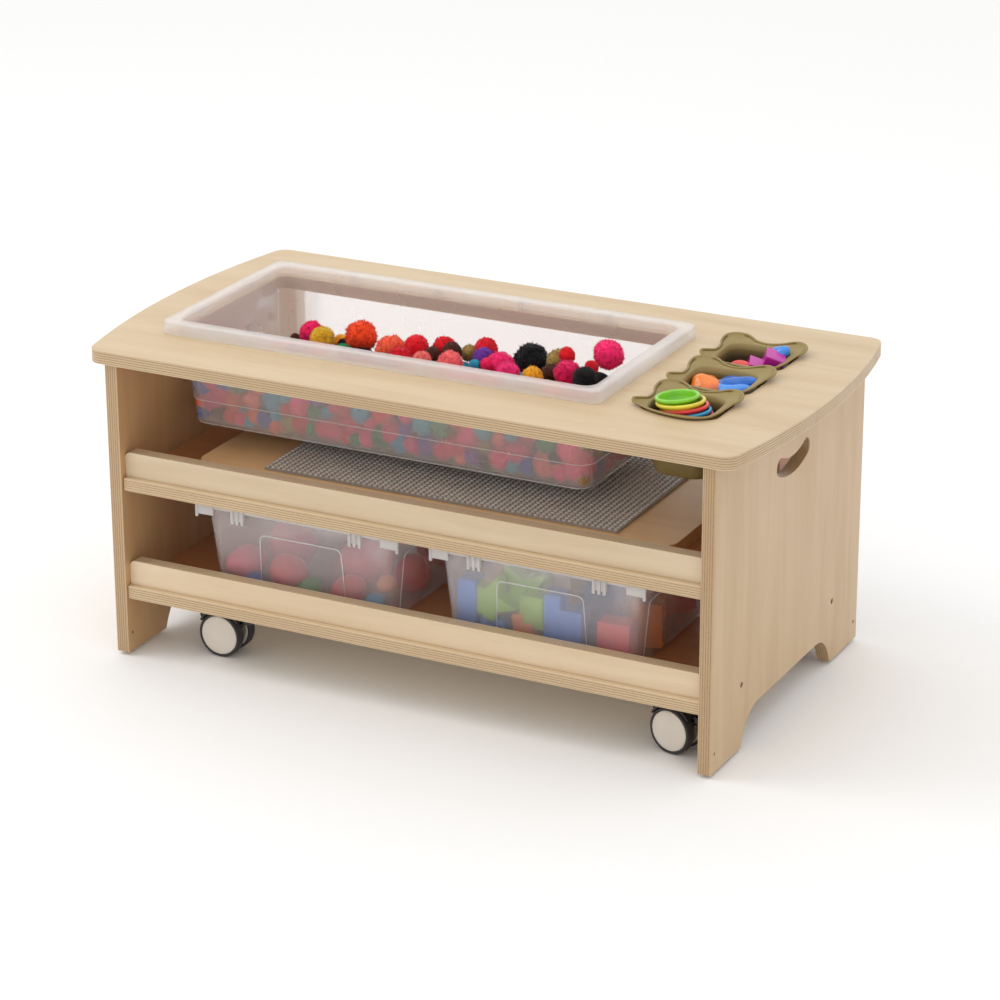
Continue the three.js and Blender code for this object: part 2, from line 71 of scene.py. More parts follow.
POMPOM_COLOURS = {
    "pink": (0.85, 0.015, 0.13), "hot_pink": (0.95, 0.03, 0.20), "red": (0.84, 0.010, 0.025),
    "orange": (0.90, 0.08, 0.012), "coral": (0.95, 0.13, 0.06), "yellow": (0.85, 0.42, 0.02),
    "green": (0.01, 0.26, 0.09), "teal": (0.03, 0.42, 0.60), "purple": (0.18, 0.04, 0.42),
    "brown": (0.075, 0.025, 0.012), "black": (0.005, 0.005, 0.006), "salmon": (0.95, 0.19, 0.16),
    "khaki": (0.42, 0.30, 0.09), "blue": (0.03, 0.10, 0.50),
}
POMPOM_MIX = {
    "pink": 5, "hot_pink": 4.5, "red": 3.5, "orange": 1, "coral": 1.6, "yellow": 0.7, "green": 2.4,
    "teal": 4.4, "purple": 2.8, "brown": 1.2, "black": 2.2, "salmon": 2.0, "khaki": 0.8, "blue": 1.2,
}
# The heap's top layer: colour, radius, then place from the middle of the tub's floor, in mm.
TOP_POMPOMS = (
    ("brown", 7, -225, 35, 81), ("pink", 16, -185, 10, 103), ("yellow", 17, -150, -20, 108),
    ("yellow", 10, -155, 35, 87), ("black", 9, -135, 10, 92), ("green", 12, -120, -20, 94),
    ("orange", 22, -110, 10, 108), ("coral", 22, -60, 5, 97), ("red", 17, -25, 10, 105),
    ("red", 16, -30, -25, 101), ("red", 16, 5, 35, 102), ("brown", 11, 5, 0, 103),
    ("brown", 13, 30, 10, 108), ("salmon", 13, 5, -30, 104), ("salmon", 17, 45, -25, 104),
    ("khaki", 12, 40, 40, 98), ("red", 16, 65, 40, 107), ("purple", 15, 75, 10, 105),
    ("teal", 8, 80, -25, 107), ("pink", 9, 95, -20, 109), ("hot_pink", 19, 105, 0, 103),
    ("hot_pink", 16, 135, -35, 108), ("black", 24, 130, 40, 101), ("yellow", 14, 170, -35, 108),
    ("khaki", 16, 170, 40, 107), ("red", 11, 195, 15, 126), ("brown", 12, 175, 5, 101),
    ("pink", 18, 205, -5, 109), ("black", 17, 245, -35, 117), ("hot_pink", 20, 245, 35, 129),
    ("red", 9, 235, 5, 119),
)

# Larger pompoms that show through the front wall: colour, radius, place along the tub from its
# middle and height above its floor, in mm.
FRONT_POMPOMS = (
    ("hot_pink", 24, -267, 33), ("hot_pink", 19, -268, 66), ("red", 13, -238, 16),
    ("coral", 14, -232, 38), ("green", 15, -226, 62), ("coral", 14, -200, 22),
    ("teal", 20, -172, 48), ("orange", 13, -168, 12), ("hot_pink", 20, -132, 46),
    ("purple", 16, -106, 64), ("green", 14, -112, 16), ("pink", 16, -74, 30), ("teal", 17, -40, 52),
    ("hot_pink", 17, 4, 30), ("teal", 18, 52, 50), ("pink", 18, 96, 26), ("teal", 16, 140, 58),
    ("hot_pink", 20, 186, 34), ("salmon", 20, 226, 22), ("hot_pink", 22, 262, 50),
)


def link(obj):
    bpy.context.scene.collection.objects.link(obj)
    return obj


# ---- node helpers -----------------------------------------------------------------------
class Tree:
    """A material's node tree, written as calls that return output sockets."""

    def __init__(self, name):
        self.material = bpy.data.materials.new(name)
        self.material.use_nodes = True
        self.nodes = self.material.node_tree.nodes
        self.links = self.material.node_tree.links
        self.nodes.clear()
        self.output = self.nodes.new("ShaderNodeOutputMaterial")
        self.shader = self.nodes.new("ShaderNodeBsdfPrincipled")
        self.links.new(self.shader.outputs[0], self.output.inputs["Surface"])

    def feed(self, socket, value):
        if isinstance(value, bpy.types.NodeSocket):
            self.links.new(value, socket)
        elif value is not None:
            socket.default_value = value

    def add(self, kind, inputs=(), **settings):
        node = self.nodes.new(kind)
        for key, value in settings.items():
            setattr(node, key, value)
        for key, value in dict(inputs).items():
            self.feed(node.inputs[key], value)
        return node

    def math(self, operation, a, b=None, clamp=False):
        node = self.add("ShaderNodeMath", operation=operation, use_clamp=clamp)
        self.feed(node.inputs[0], a)
        self.feed(node.inputs[1], b)
        return node.outputs[0]

    def place(self):
        return self.add("ShaderNodeTexCoord").outputs["Object"]

    def split(self, vector, axis):
        return self.add("ShaderNodeSeparateXYZ", {"Vector": vector}).outputs[axis]

    def scaled(self, vector, scale, shift=(0, 0, 0)):
        inputs = {"Vector": vector, "Scale": scale, "Location": shift}
        return self.add("ShaderNodeMapping", inputs).outputs["Vector"]

    def noise(self, vector, scale, detail=3.0, roughness=0.5, distortion=0.0):
        inputs = {"Vector": vector, "Scale": scale, "Detail": detail,
                  "Roughness": roughness, "Distortion": distortion}
        return self.add("ShaderNodeTexNoise", inputs).outputs["Fac"]

    def remap(self, value, low, high, to_low=0.0, to_high=1.0):
        inputs = {"Value": value, "From Min": low, "From Max": high,
                  "To Min": to_low, "To Max": to_high}
        return self.add("ShaderNodeMapRange", inputs).outputs["Result"]

    def mix(self, factor, a, b, blend="MIX"):
        node = self.add("ShaderNodeMix", data_type="RGBA", blend_type=blend)
        self.feed(node.inputs["Factor"], factor)
        self.feed(node.inputs["A"], a)
        self.feed(node.inputs["B"], b)
        return node.outputs["Result"]

    def bump(self, height, strength, distance):
        inputs = {"Height": height, "Strength": strength, "Distance": distance}
        return self.add("ShaderNodeBump", inputs).outputs["Normal"]

    def set(self, **values):
        names = {"colour": "Base Color", "roughness": "Roughness", "metallic": "Metallic",
                 "normal": "Normal", "coat": "Coat Weight", "coat_roughness": "Coat Roughness",
                 "transmission": "Transmission Weight", "ior": "IOR", "sheen": "Sheen Weight",
                 "sheen_roughness": "Sheen Roughness", "subsurface": "Subsurface Weight",
                 "specular": "Specular IOR Level", "alpha": "Alpha"}
        for key, value in values.items():
            self.feed(self.shader.inputs[names[key]], value)
        return self.material


def rgb(r, g, b):
    return (r, g, b, 1.0)


# ---- materials ----------------------------------------------------------------------------
def plywood(name, grain, stack, low, high, tint, seed=0.0, inner=None):
    """Birch plywood as a solid texture: grain runs along one axis, the plies stack on another.

    inner is (sign, shade, front) for a board with one face towards the inside: the face on that
    side of the board takes the shade, a painted shade for the bay's shadow, from the front line backwards.
    """
    tree = Tree(name)
    place = tree.place()
    stretch = [1.0, 1.0, 1.0]
    stretch[grain] = 0.11
    shifted = tree.scaled(place, stretch, (seed, seed * 0.7, seed * 1.3))
    figure = tree.noise(shifted, 26.0, 4.0, 0.55, 0.6)
    streak = tree.noise(shifted, 130.0, 3.0, 0.6, 0.2)
    fibre_stretch = [1.0, 1.0, 1.0]
    fibre_stretch[grain] = 0.035
    fibre = tree.noise(tree.scaled(place, fibre_stretch, (seed, 0, seed)), 900.0, 2.0, 0.6)
    cloud = tree.noise(place, 5.0, 2.0, 0.5)

    def tinted(r, g, b):
        return rgb(r * tint[0], g * tint[1], b * tint[2])

    light = tinted(0.690, 0.550, 0.360)
    warm = tinted(0.625, 0.478, 0.298)
    brown = tinted(0.50, 0.35, 0.20)
    face = tree.mix(tree.remap(figure, 0.40, 0.70), light, warm)
    face = tree.mix(tree.remap(streak, 0.55, 0.85, 0.0, 0.20), face, brown)
    face = tree.mix(tree.remap(fibre, 0.56, 0.82, 0.0, 0.34), face, brown)
    face = tree.mix(tree.remap(cloud, 0.35, 0.70, 0.0, 0.20), face, warm)

    along = tree.split(place, stack)
    wobble = tree.remap(tree.noise(place, 16.0, 2.0), 0.0, 1.0, -0.0004, 0.0004)
    depth = tree.remap(tree.math("ADD", along, wobble), low, high, 0.0, PLY_COUNT)
    inside = tree.math("MULTIPLY", tree.math("GREATER_THAN", depth, 0.8),
                       tree.math("LESS_THAN", depth, PLY_COUNT - 0.8))
    crossed = tree.math("GREATER_THAN", tree.math("PINGPONG", depth, 1.0), 0.5)
    phase = tree.math("FRACT", depth)
    glue = tree.remap(tree.math("PINGPONG", phase, 0.5), 0.0, 0.16, 1.0, 0.0)
    speckle = tree.noise(place, 420.0, 2.0, 0.7)
    end_grain = tree.mix(tree.remap(speckle, 0.35, 0.75), brown, tinted(0.36, 0.235, 0.125))
    edge = tree.mix(crossed, tree.mix(1.0, face, rgb(0.98, 0.97, 0.95), "MULTIPLY"), end_grain)
    edge = tree.mix(tree.math("MULTIPLY", glue, 0.50), edge, rgb(0.17, 0.095, 0.045))
    # Painted shade: the inner face, and on a shelf only the part behind the front line, is multiplied by
    # the shade colour.
    if inner:
        sign, shade, front = inner
        test = "GREATER_THAN" if sign > 0 else "LESS_THAN"
        line = high - PAINTED_SHADE_SKIN if sign > 0 else low + PAINTED_SHADE_SKIN
        behind = tree.math("GREATER_THAN", tree.split(place, 1), front)
        painted_shade_mask = tree.math("MULTIPLY", tree.math(test, along, line), behind)
        face = tree.mix(painted_shade_mask, face, tree.mix(1.0, face, rgb(*shade), "MULTIPLY"))
    colour = tree.mix(inside, face, edge)

    ridge = tree.math("ADD", tree.math("MULTIPLY", fibre, 0.6), tree.math("MULTIPLY", streak, 0.4))
    return tree.set(
        colour=colour, roughness=tree.remap(figure, 0.2, 0.8, 0.36, 0.50),
        normal=tree.bump(ridge, 0.10, 0.0006), coat=0.12, coat_roughness=0.25)


def moulded(name, colour, shade, roughness, grain=700.0, bump=0.05, **extra):
    """Opaque moulded plastic or rubber with a fine texture and slight tone drift."""
    tree = Tree(name)
    place = tree.place()
    drift = tree.noise(place, 22.0, 3.0)
    fine = tree.noise(place, grain, 2.0, 0.6)
    mixed = tree.mix(tree.remap(drift, 0.35, 0.70), rgb(*colour), rgb(*shade))
    rough = tree.remap(tree.math("ADD", drift, fine), 0.7, 1.3, roughness - 0.06, roughness + 0.06)
    return tree.set(colour=mixed, roughness=rough, normal=tree.bump(fine, bump, 0.0004), **extra)


def frosted(name, tint, roughness, solid, see_through):
    """Milky polypropylene: it veils and blurs what is behind it, and lets some light through."""
    tree = Tree(name)
    place = tree.place()
    cloud = tree.noise(place, 9.0, 3.0)
    pale = tuple(min(1.0, c * 1.04) for c in tint)
    mixed = tree.mix(tree.remap(cloud, 0.3, 0.7), rgb(*tint), rgb(*pale))
    rough = tree.remap(cloud, 0.2, 0.8, roughness - 0.03, roughness + 0.03)
    return tree.set(colour=mixed, roughness=rough, transmission=see_through, ior=1.25,
                    alpha=solid)


def yarn(name):
    """Fluffy yarn coloured by the piece's own colour attribute."""
    tree = Tree(name)
    place = tree.place()
    colour = tree.add("ShaderNodeAttribute", attribute_name="tint").outputs["Color"]
    fluff = tree.noise(place, 900.0, 3.0, 0.7)
    clump = tree.noise(place, 150.0, 3.0, 0.6)
    dark = tree.mix(1.0, colour, rgb(0.74, 0.64, 0.66), "MULTIPLY")
    mixed = tree.mix(tree.remap(clump, 0.34, 0.58), dark, colour)
    mixed = tree.mix(tree.remap(fluff, 0.60, 0.90, 0.0, 0.14), mixed, rgb(1.0, 0.80, 0.80))
    return tree.set(colour=mixed, roughness=0.9, sheen=0.15, sheen_roughness=0.5, specular=0.15,
                    normal=tree.bump(fluff, 0.45, 0.0008))


def metal(name, colour, roughness):
    tree = Tree(name)
    place = tree.place()
    scratch = tree.noise(tree.scaled(place, (1.0, 1.0, 0.1)), 500.0, 2.0)
    mixed = tree.mix(scratch, rgb(*colour), rgb(*[c * 0.8 for c in colour]))
    return tree.set(colour=mixed, metallic=1.0,
                    roughness=tree.remap(scratch, 0.2, 0.8, roughness - 0.08, roughness + 0.1))


TOY_COLOURS = {
    "lime": (0.25, 0.66, 0.03), "leaf": (0.10, 0.45, 0.08), "sun": (0.86, 0.55, 0.02),
    "scarlet": (0.85, 0.04, 0.04), "sky": (0.02, 0.36, 0.66), "rose": (1.0, 0.12, 0.22),
    "tangerine": (0.98, 0.24, 0.02), "royal": (0.01, 0.15, 0.62), "magenta": (0.60, 0.015, 0.38),
    "cornflower": (0.05, 0.30, 0.90), "apple": (0.36, 0.75, 0.06), "brick": (0.90, 0.05, 0.08),
    "plum": (0.70, 0.08, 0.28), "rust": (0.80, 0.16, 0.02), "lemon": (0.85, 0.70, 0.05),
}
toy_materials = {}


def toy(colour):
    """Glossy toy plastic, one material for each colour."""
    if colour in toy_materials:
        return toy_materials[colour]
    tree = Tree(f"toy_{colour}")
    place = tree.place()
    base = TOY_COLOURS[colour]
    drift = tree.noise(place, 45.0, 2.0)
    fine = tree.noise(place, 900.0, 2.0)
    mixed = tree.mix(tree.remap(drift, 0.3, 0.8), rgb(*base), rgb(*[c * 0.72 for c in base]))
    toy_materials[colour] = tree.set(
        colour=mixed, roughness=tree.remap(drift, 0.2, 0.8, 0.20, 0.34), coat=0.3,
        coat_roughness=0.12, normal=tree.bump(fine, 0.03, 0.0003))
    return toy_materials[colour]


def silicone(name, pale, dark, shade_line_z):
    """Olive rubber with painted shade: it turns from pale to dark as it goes down from a height."""
    tree = Tree(name)
    place = tree.place()
    height = tree.split(place, 2)
    drift = tree.noise(place, 60.0, 3.0)
    fine = tree.noise(place, 1100.0, 2.0)
    # Painted shade: the colour darkens from pale to dark below the line, for the shade below the table and
    # in the cup's hollow.
    painted_light_share = tree.remap(height, shade_line_z - 0.012, shade_line_z + 0.004)
    mixed = tree.mix(painted_light_share, rgb(*dark), rgb(*pale))
    mixed = tree.mix(tree.remap(drift, 0.35, 0.75, 0.0, 0.25), mixed,
                     tree.mix(1.0, mixed, rgb(0.7, 0.68, 0.6), "MULTIPLY"))
    return tree.set(colour=mixed, roughness=tree.remap(drift, 0.3, 0.7, 0.42, 0.55),
                    normal=tree.bump(fine, 0.10, 0.0004))


MATERIAL = {
    "tub": frosted("tub_plastic", (0.98, 0.91, 0.87), 0.27, 0.52, 0.62),
    "bin": frosted("bin_plastic", (1.0, 0.92, 0.92), 0.22, 0.36, 0.50),
    "rim": frosted("rim_plastic", (1.0, 0.955, 0.935), 0.30, 0.50, 0.42),
    "bead": frosted("bead_plastic", (0.99, 0.97, 0.96), 0.25, 0.62, 0.30),
    "lid": moulded("lid_plastic", (0.74, 0.71, 0.69), (0.68, 0.65, 0.63), 0.42, alpha=0.72),
    # Painted shade: both rubbers darken below the table line; the basin's inside goes much darker, for the
    # shade in the cup's hollow.
    "olive": silicone("olive_silicone_painted_shade", (0.31, 0.225, 0.076), (0.215, 0.155, 0.048), 0.431),
    "basin": silicone("basin_silicone_painted_shade", (0.31, 0.225, 0.076), (0.070, 0.045, 0.016), 0.431),
    # Painted highlight and shade: the studs take a much lighter grey than the plate between them, on what
    # is one grey plastic.
    "plate": moulded("plate_plastic_painted_shade", (0.36, 0.325, 0.29), (0.31, 0.28, 0.25), 0.34),
    "stud_painted_highlight": moulded("stud_plastic", (0.74, 0.69, 0.63), (0.66, 0.61, 0.56), 0.28),
    "disc": moulded("disc_plastic", (0.74, 0.67, 0.59), (0.68, 0.61, 0.53), 0.42),
    "tyre": moulded("tyre_rubber", (0.045, 0.038, 0.042), (0.030, 0.026, 0.028), 0.72, bump=0.2),
    "housing": moulded("housing_nylon", (0.020, 0.018, 0.018), (0.013, 0.012, 0.012), 0.42),
    "steel": metal("zinc_steel", (0.62, 0.62, 0.63), 0.35),
    "dark_steel": metal("dark_steel", (0.16, 0.14, 0.12), 0.45),
    "yarn": yarn("pompom_yarn"),
}


# ---- mesh helpers ---------------------------------------------------------------------------
def mesh_object(name, vertices, faces, material, smooth=True, tints=None, looks=None):
    """material is one material, or a list of them that looks picks from face by face."""
    mesh = bpy.data.meshes.new(name)
    mesh.from_pydata([tuple(v) for v in vertices], [], faces)
    for each in material if isinstance(material, list) else [material]:
        mesh.materials.append(each)
    if looks is not None:
        mesh.polygons.foreach_set("material_index", looks)
    mesh.validate()
    if tints is not None:
        attribute = mesh.color_attributes.new("tint", "FLOAT_COLOR", "POINT")
        flat = np.array([(*tint, 1.0) for tint in tints], np.float32).ravel()
        attribute.data.foreach_set("color", flat)
    mesh.polygons.foreach_set("use_smooth", [smooth] * len(mesh.polygons))
    mesh.update()
    return link(bpy.data.objects.new(name, mesh))


class Soup:
    """Collects closed shells into one mesh."""

    def __init__(self):
        self.vertices, self.faces, self.tints, self.looks = [], [], [], []

    def add(self, vertices, faces, tint=(1, 1, 1), look=0):
        base = len(self.vertices)
        self.vertices += [tuple(v) for v in vertices]
        self.faces += [tuple(base + i for i in face) for face in faces]
        self.tints += [tint] * len(vertices)
        self.looks += [look] * len(faces)

    def build(self, name, material, smooth=True):
        return mesh_object(name, self.vertices, self.faces, material, smooth, self.tints, self.looks)


def loft(rings, closed=False):
    """Joins equal rings one to the next; the first and last are capped unless closed."""
    count = len(rings[0])
    vertices = [point for ring in rings for point in ring]
    faces = []
    spans = len(rings) if closed else len(rings) - 1
    for r in range(spans):
        a, b = r * count, ((r + 1) % len(rings)) * count
        faces += [(a + i, a + (i + 1) % count, b + (i + 1) % count, b + i) for i in range(count)]
    if not closed:
        last = (len(rings) - 1) * count
        faces.append(tuple(reversed(range(count))))
        faces.append(tuple(last + i for i in range(count)))
    return vertices, faces


def rounded_ring(centre, length, width, radius, z, steps=8):
    """A rounded rectangle's outline, with steps + 1 points round each corner."""
    points = []
    for corner, (sx, sy) in enumerate(((1, 1), (-1, 1), (-1, -1), (1, -1))):
        for step in range(steps + 1):
            angle = (corner + step / steps) * math.pi / 2
            x = sx * (length / 2 - radius) + radius * math.cos(angle)
            y = sy * (width / 2 - radius) + radius * math.sin(angle)
            points.append((centre[0] + x, centre[1] + y, z))
    return points


def along_edges(ring, pieces_long, pieces_short, steps=8):
    """Splits a rounded ring's four straight sides into pieces between its corners."""
    count = steps + 1
    result = []
    for corner in range(4):
        result += ring[corner * count:(corner + 1) * count]
        start, end = ring[corner * count + steps], ring[((corner + 1) % 4) * count]
        pieces = pieces_long if corner % 2 == 0 else pieces_short
        for i in range(1, pieces):
            t = i / pieces
            result.append(tuple(a + (b - a) * t for a, b in zip(start, end)))
    return result


def tube(path, radius, sides=8):
    """A round bead with flat ends along a line of points."""
    path = [Vector(p) for p in path]
    rings = []
    for i, point in enumerate(path):
        ahead = path[min(i + 1, len(path) - 1)] - path[max(i - 1, 0)]
        ahead.normalize()
        side = ahead.cross(Vector((0, 0, 1)))
        if side.length < 0.1:
            side = ahead.cross(Vector((0, 1, 0)))
        side.normalize()
        up = side.cross(ahead)
        rings.append([point + radius * (math.cos(a) * side + math.sin(a) * up)
                      for a in (2 * math.pi * k / sides for k in range(sides))])
    return loft(rings)


def lathe(profile, steps=64):
    """Turns (radius, along) points about the Z axis; points on the axis close the ends."""
    vertices, faces, rows = [], [], []
    for radius, along in profile:
        if radius < 1e-7:
            rows.append([len(vertices)] * steps)
            vertices.append((0.0, 0.0, along))
            continue
        rows.append(list(range(len(vertices), len(vertices) + steps)))
        for k in range(steps):
            angle = 2 * math.pi * k / steps
            vertices.append((radius * math.cos(angle), radius * math.sin(angle), along))
    for low, high in zip(rows, rows[1:]):
        for k in range(steps):
            j = (k + 1) % steps
            face = [low[k], low[j], high[j], high[k]]
            face = [v for i, v in enumerate(face) if v != face[i - 1]]
            if len(face) > 2:
                faces.append(tuple(face))
    return vertices, faces


def moved(shell, matrix):
    vertices, faces = shell
    return [matrix @ Vector(v) for v in vertices], faces


def bevel(obj, width, segments=3, angle=35.0):
    weld = obj.modifiers.new("weld", "WELD")
    weld.merge_threshold = 0.02 * MM
    rounding = obj.modifiers.new("rounding", "BEVEL")
    rounding.width = width
    rounding.segments = segments
    rounding.limit_method = "ANGLE"
    rounding.angle_limit = math.radians(angle)
    rounding.use_clamp_overlap = True
    rounding.harden_normals = False
    return obj


def dress(node, material, width=None, segments=3):
    """Gives a CAD node its material, eased edges and clean shading."""
    obj = NODES[node]
    obj.data.materials.clear()
    obj.data.materials.append(material)
    if width:
        bevel(obj, width, segments)
        for polygon in obj.data.polygons:
            polygon.use_smooth = True
        shading = obj.modifiers.new("normals", "WEIGHTED_NORMAL")
        shading.keep_sharp = False
        shading.weight = 80
    return obj


# ---- the wooden boards --------------------------------------------------------------------
# Painted shade: this tint makes the side panels darker and browner than the other boards, as the side away
# from the lamps falls in shade.
PANEL_PAINTED_SHADE = (0.815, 0.725, 0.64)
# Painted shade: the inner faces of the side panels and the shelves' tops behind the lips take these
# darker, browner tones, for the shade in the bays under the table top.
PANEL_INSIDE_PAINTED_SHADE = (0.98, 0.84, 0.70)
SHELF_TOP_PAINTED_SHADE = (0.72, 0.40, 0.24)
LIP_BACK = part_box("middle_lip")[1].y
BOARDS = {
    # node: (grain axis, axis the plies stack on, tint, inner face with painted shade)
    "table_top": (0, 2, (0.925, 0.885, 0.835), None),
    # Painted light: the cover board's tint lifts it well above the wood's own tone, for light that falls
    # short under the shelf.
    "cover_board": (0, 2, (1.24, 1.04, 0.82), None),
    "side_panel_left": (2, 0, PANEL_PAINTED_SHADE, (1, PANEL_INSIDE_PAINTED_SHADE, -1.0)),
    "side_panel_right": (2, 0, PANEL_PAINTED_SHADE, (-1, PANEL_INSIDE_PAINTED_SHADE, -1.0)),
    "middle_shelf": (0, 2, (1.0, 0.97, 0.94), (1, SHELF_TOP_PAINTED_SHADE, LIP_BACK)),
    "bottom_shelf": (0, 2, (1.0, 0.97, 0.94), (1, SHELF_TOP_PAINTED_SHADE, LIP_BACK)),
    "middle_lip": (0, 1, (0.97, 0.97, 1.0), None),
    "bottom_lip": (0, 1, (1.06, 1.05, 1.08), None),
}


def dress_boards():
    for i, (node, (grain, stack, tint, inner)) in enumerate(BOARDS.items()):
        low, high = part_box(node)
        material = plywood(f"birch_{node}", grain, stack, low[stack], high[stack], tint, 0.37 * i, inner)
        dress(node, material, EDGE_ROUND.get(node, EDGE_ROUND_DEFAULT) * MM, 4)
    for node in NODES:
        if node.startswith("shelf_screw"):
            dress(node, MATERIAL["dark_steel"], 0.3 * MM, 2)
        elif node.startswith("top_bracket"):
            dress(node, MATERIAL["steel"], 0.4 * MM, 2)


def size_of(node):
    """A node's lowest and highest corners, its size and its middle."""
    low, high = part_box(node)
    return low, high, high - low, (low + high) / 2


# ---- the tub ------------------------------------------------------------------------------
TUB_RIM = 15 * MM            # width of the flat rim
TUB_DRAFT = 11 * MM          # how far each wall leans in by the bottom
TUB_WALL = 2.6 * MM
TABLE_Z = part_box("table_top")[1].z


def build_tub():
    low, high, size, centre = size_of("tub")
    foot = TUB_RIM + TUB_DRAFT
    floor, top = low.z, high.z
    seat = TABLE_Z + 0.3 * MM

    def at(inset, z, radius):
        ring = rounded_ring(centre, size.x - 2 * inset, size.y - 2 * inset, radius, z, 8)
        return along_edges(ring, 10, 6)

    def wall_inset(z):
        share = (z - (floor + 8 * MM)) / ((top - 3 * MM) - (floor + 8 * MM))
        return foot + (TUB_RIM - foot) * share

    step_z = floor + 36 * MM     # a shallow step runs round the lower wall
    rings = [
        at(foot + 12 * MM, floor, 16 * MM), at(foot + 5 * MM, floor + 0.4 * MM, 20 * MM),
        at(foot + 1.6 * MM, floor + 2.4 * MM, 22 * MM), at(foot + 0.3 * MM, floor + 5 * MM, 23 * MM),
        at(foot, floor + 9 * MM, 23 * MM),
        at(wall_inset(step_z) + 0.9 * MM, step_z - 0.8 * MM, 22 * MM),
        at(wall_inset(step_z) - 0.1 * MM, step_z + 0.4 * MM, 22 * MM),
        at(wall_inset(top - 20 * MM), top - 20 * MM, 18 * MM),
        at(TUB_RIM + 0.4 * MM, top - 6 * MM, 17 * MM), at(TUB_RIM - 0.6 * MM, top - 3.4 * MM, 17 * MM),
        at(TUB_RIM - 3 * MM, top - 2.6 * MM, 16 * MM), at(4.4 * MM, top - 2.6 * MM, 13 * MM),
        at(3.0 * MM, top - 4.0 * MM, 12 * MM), at(2.6 * MM, seat + 0.4 * MM, 12 * MM),
        at(2.2 * MM, seat, 12 * MM), at(0.5 * MM, seat, 13 * MM), at(0.0, seat + 0.5 * MM, 13 * MM),
        at(0.5 * MM, top - 3.0 * MM, 13 * MM), at(1.2 * MM, top - 1.2 * MM, 13 * MM),
        at(3.0 * MM, top, 13 * MM), at(TUB_RIM - 1 * MM, top, 16 * MM),
        at(TUB_RIM + 1.2 * MM, top - 0.7 * MM, 16 * MM),
        at(TUB_RIM + TUB_WALL, top - 3.0 * MM, 16 * MM),
        at(wall_inset(top - 20 * MM) + TUB_WALL, top - 20 * MM, 17 * MM),
        at(wall_inset(step_z) + TUB_WALL - 0.1 * MM, step_z + 0.4 * MM, 20 * MM),
        at(wall_inset(step_z) + TUB_WALL + 0.9 * MM, step_z - 0.8 * MM, 20 * MM),
        at(foot + TUB_WALL, floor + 10 * MM, 21 * MM),
        at(foot + TUB_WALL + 2 * MM, floor + 5 * MM, 19 * MM),
        at(foot + TUB_WALL + 6 * MM, floor + 2.8 * MM, 16 * MM),
        at(foot + TUB_WALL + 12 * MM, floor + 2.6 * MM, 12 * MM),
    ]
    soup = Soup()
    vertices, faces = loft(rings)
    soup.add(vertices, faces)
    soup.looks = [int(min(vertices[i][2] for i in face) > TABLE_Z - 1 * MM) for face in faces]

    def gusset(x, y, along_x):
        """A small web under the rim, between the skirt and the wall."""
        half = (0.7 * MM, 5.2 * MM) if along_x else (5.2 * MM, 0.7 * MM)
        z0, z1 = seat + 1.0 * MM, top - 2.8 * MM
        points = rounded_ring((x, y), 2 * half[0], 2 * half[1], 0.5 * MM, z0, 2)
        upper = [(px, py, z1) for px, py, _ in points]
        soup.add(*loft([points, upper]), look=1)

    inner = 8.6 * MM
    for pair in (-0.30, -0.10, 0.10, 0.30):
        for offset in (-3.2 * MM, 3.2 * MM):
            for sy in (-1, 1):
                gusset(centre.x + pair * size.x + offset, centre.y + sy * (size.y / 2 - inner), True)
    for pair in (-0.22, 0.22):
        for offset in (-3.2 * MM, 3.2 * MM):
            for sx in (-1, 1):
                gusset(centre.x + sx * (size.x / 2 - inner), centre.y + pair * size.y + offset, False)
    # Fine moulding lines round the step and the foot.
    for inset, z, radius in ((wall_inset(step_z) - 0.2 * MM, step_z + 0.2 * MM, 22 * MM),
                             (foot + 1.0 * MM, floor + 3.4 * MM, 22 * MM)):
        line = at(inset, z, radius)
        soup.add(*tube(line + line[:1], 0.55 * MM, 6), look=2)
    tub = soup.build("tub_shell", [MATERIAL["tub"], MATERIAL["rim"], MATERIAL["bead"]])
    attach(tub, "tub")
    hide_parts("tub")


# ---- bins and their lids --------------------------------------------------------------------
BIN_WALL = 2.2 * MM
BIN_DRAFT = 10 * MM
BIN_FLANGE = 3 * MM


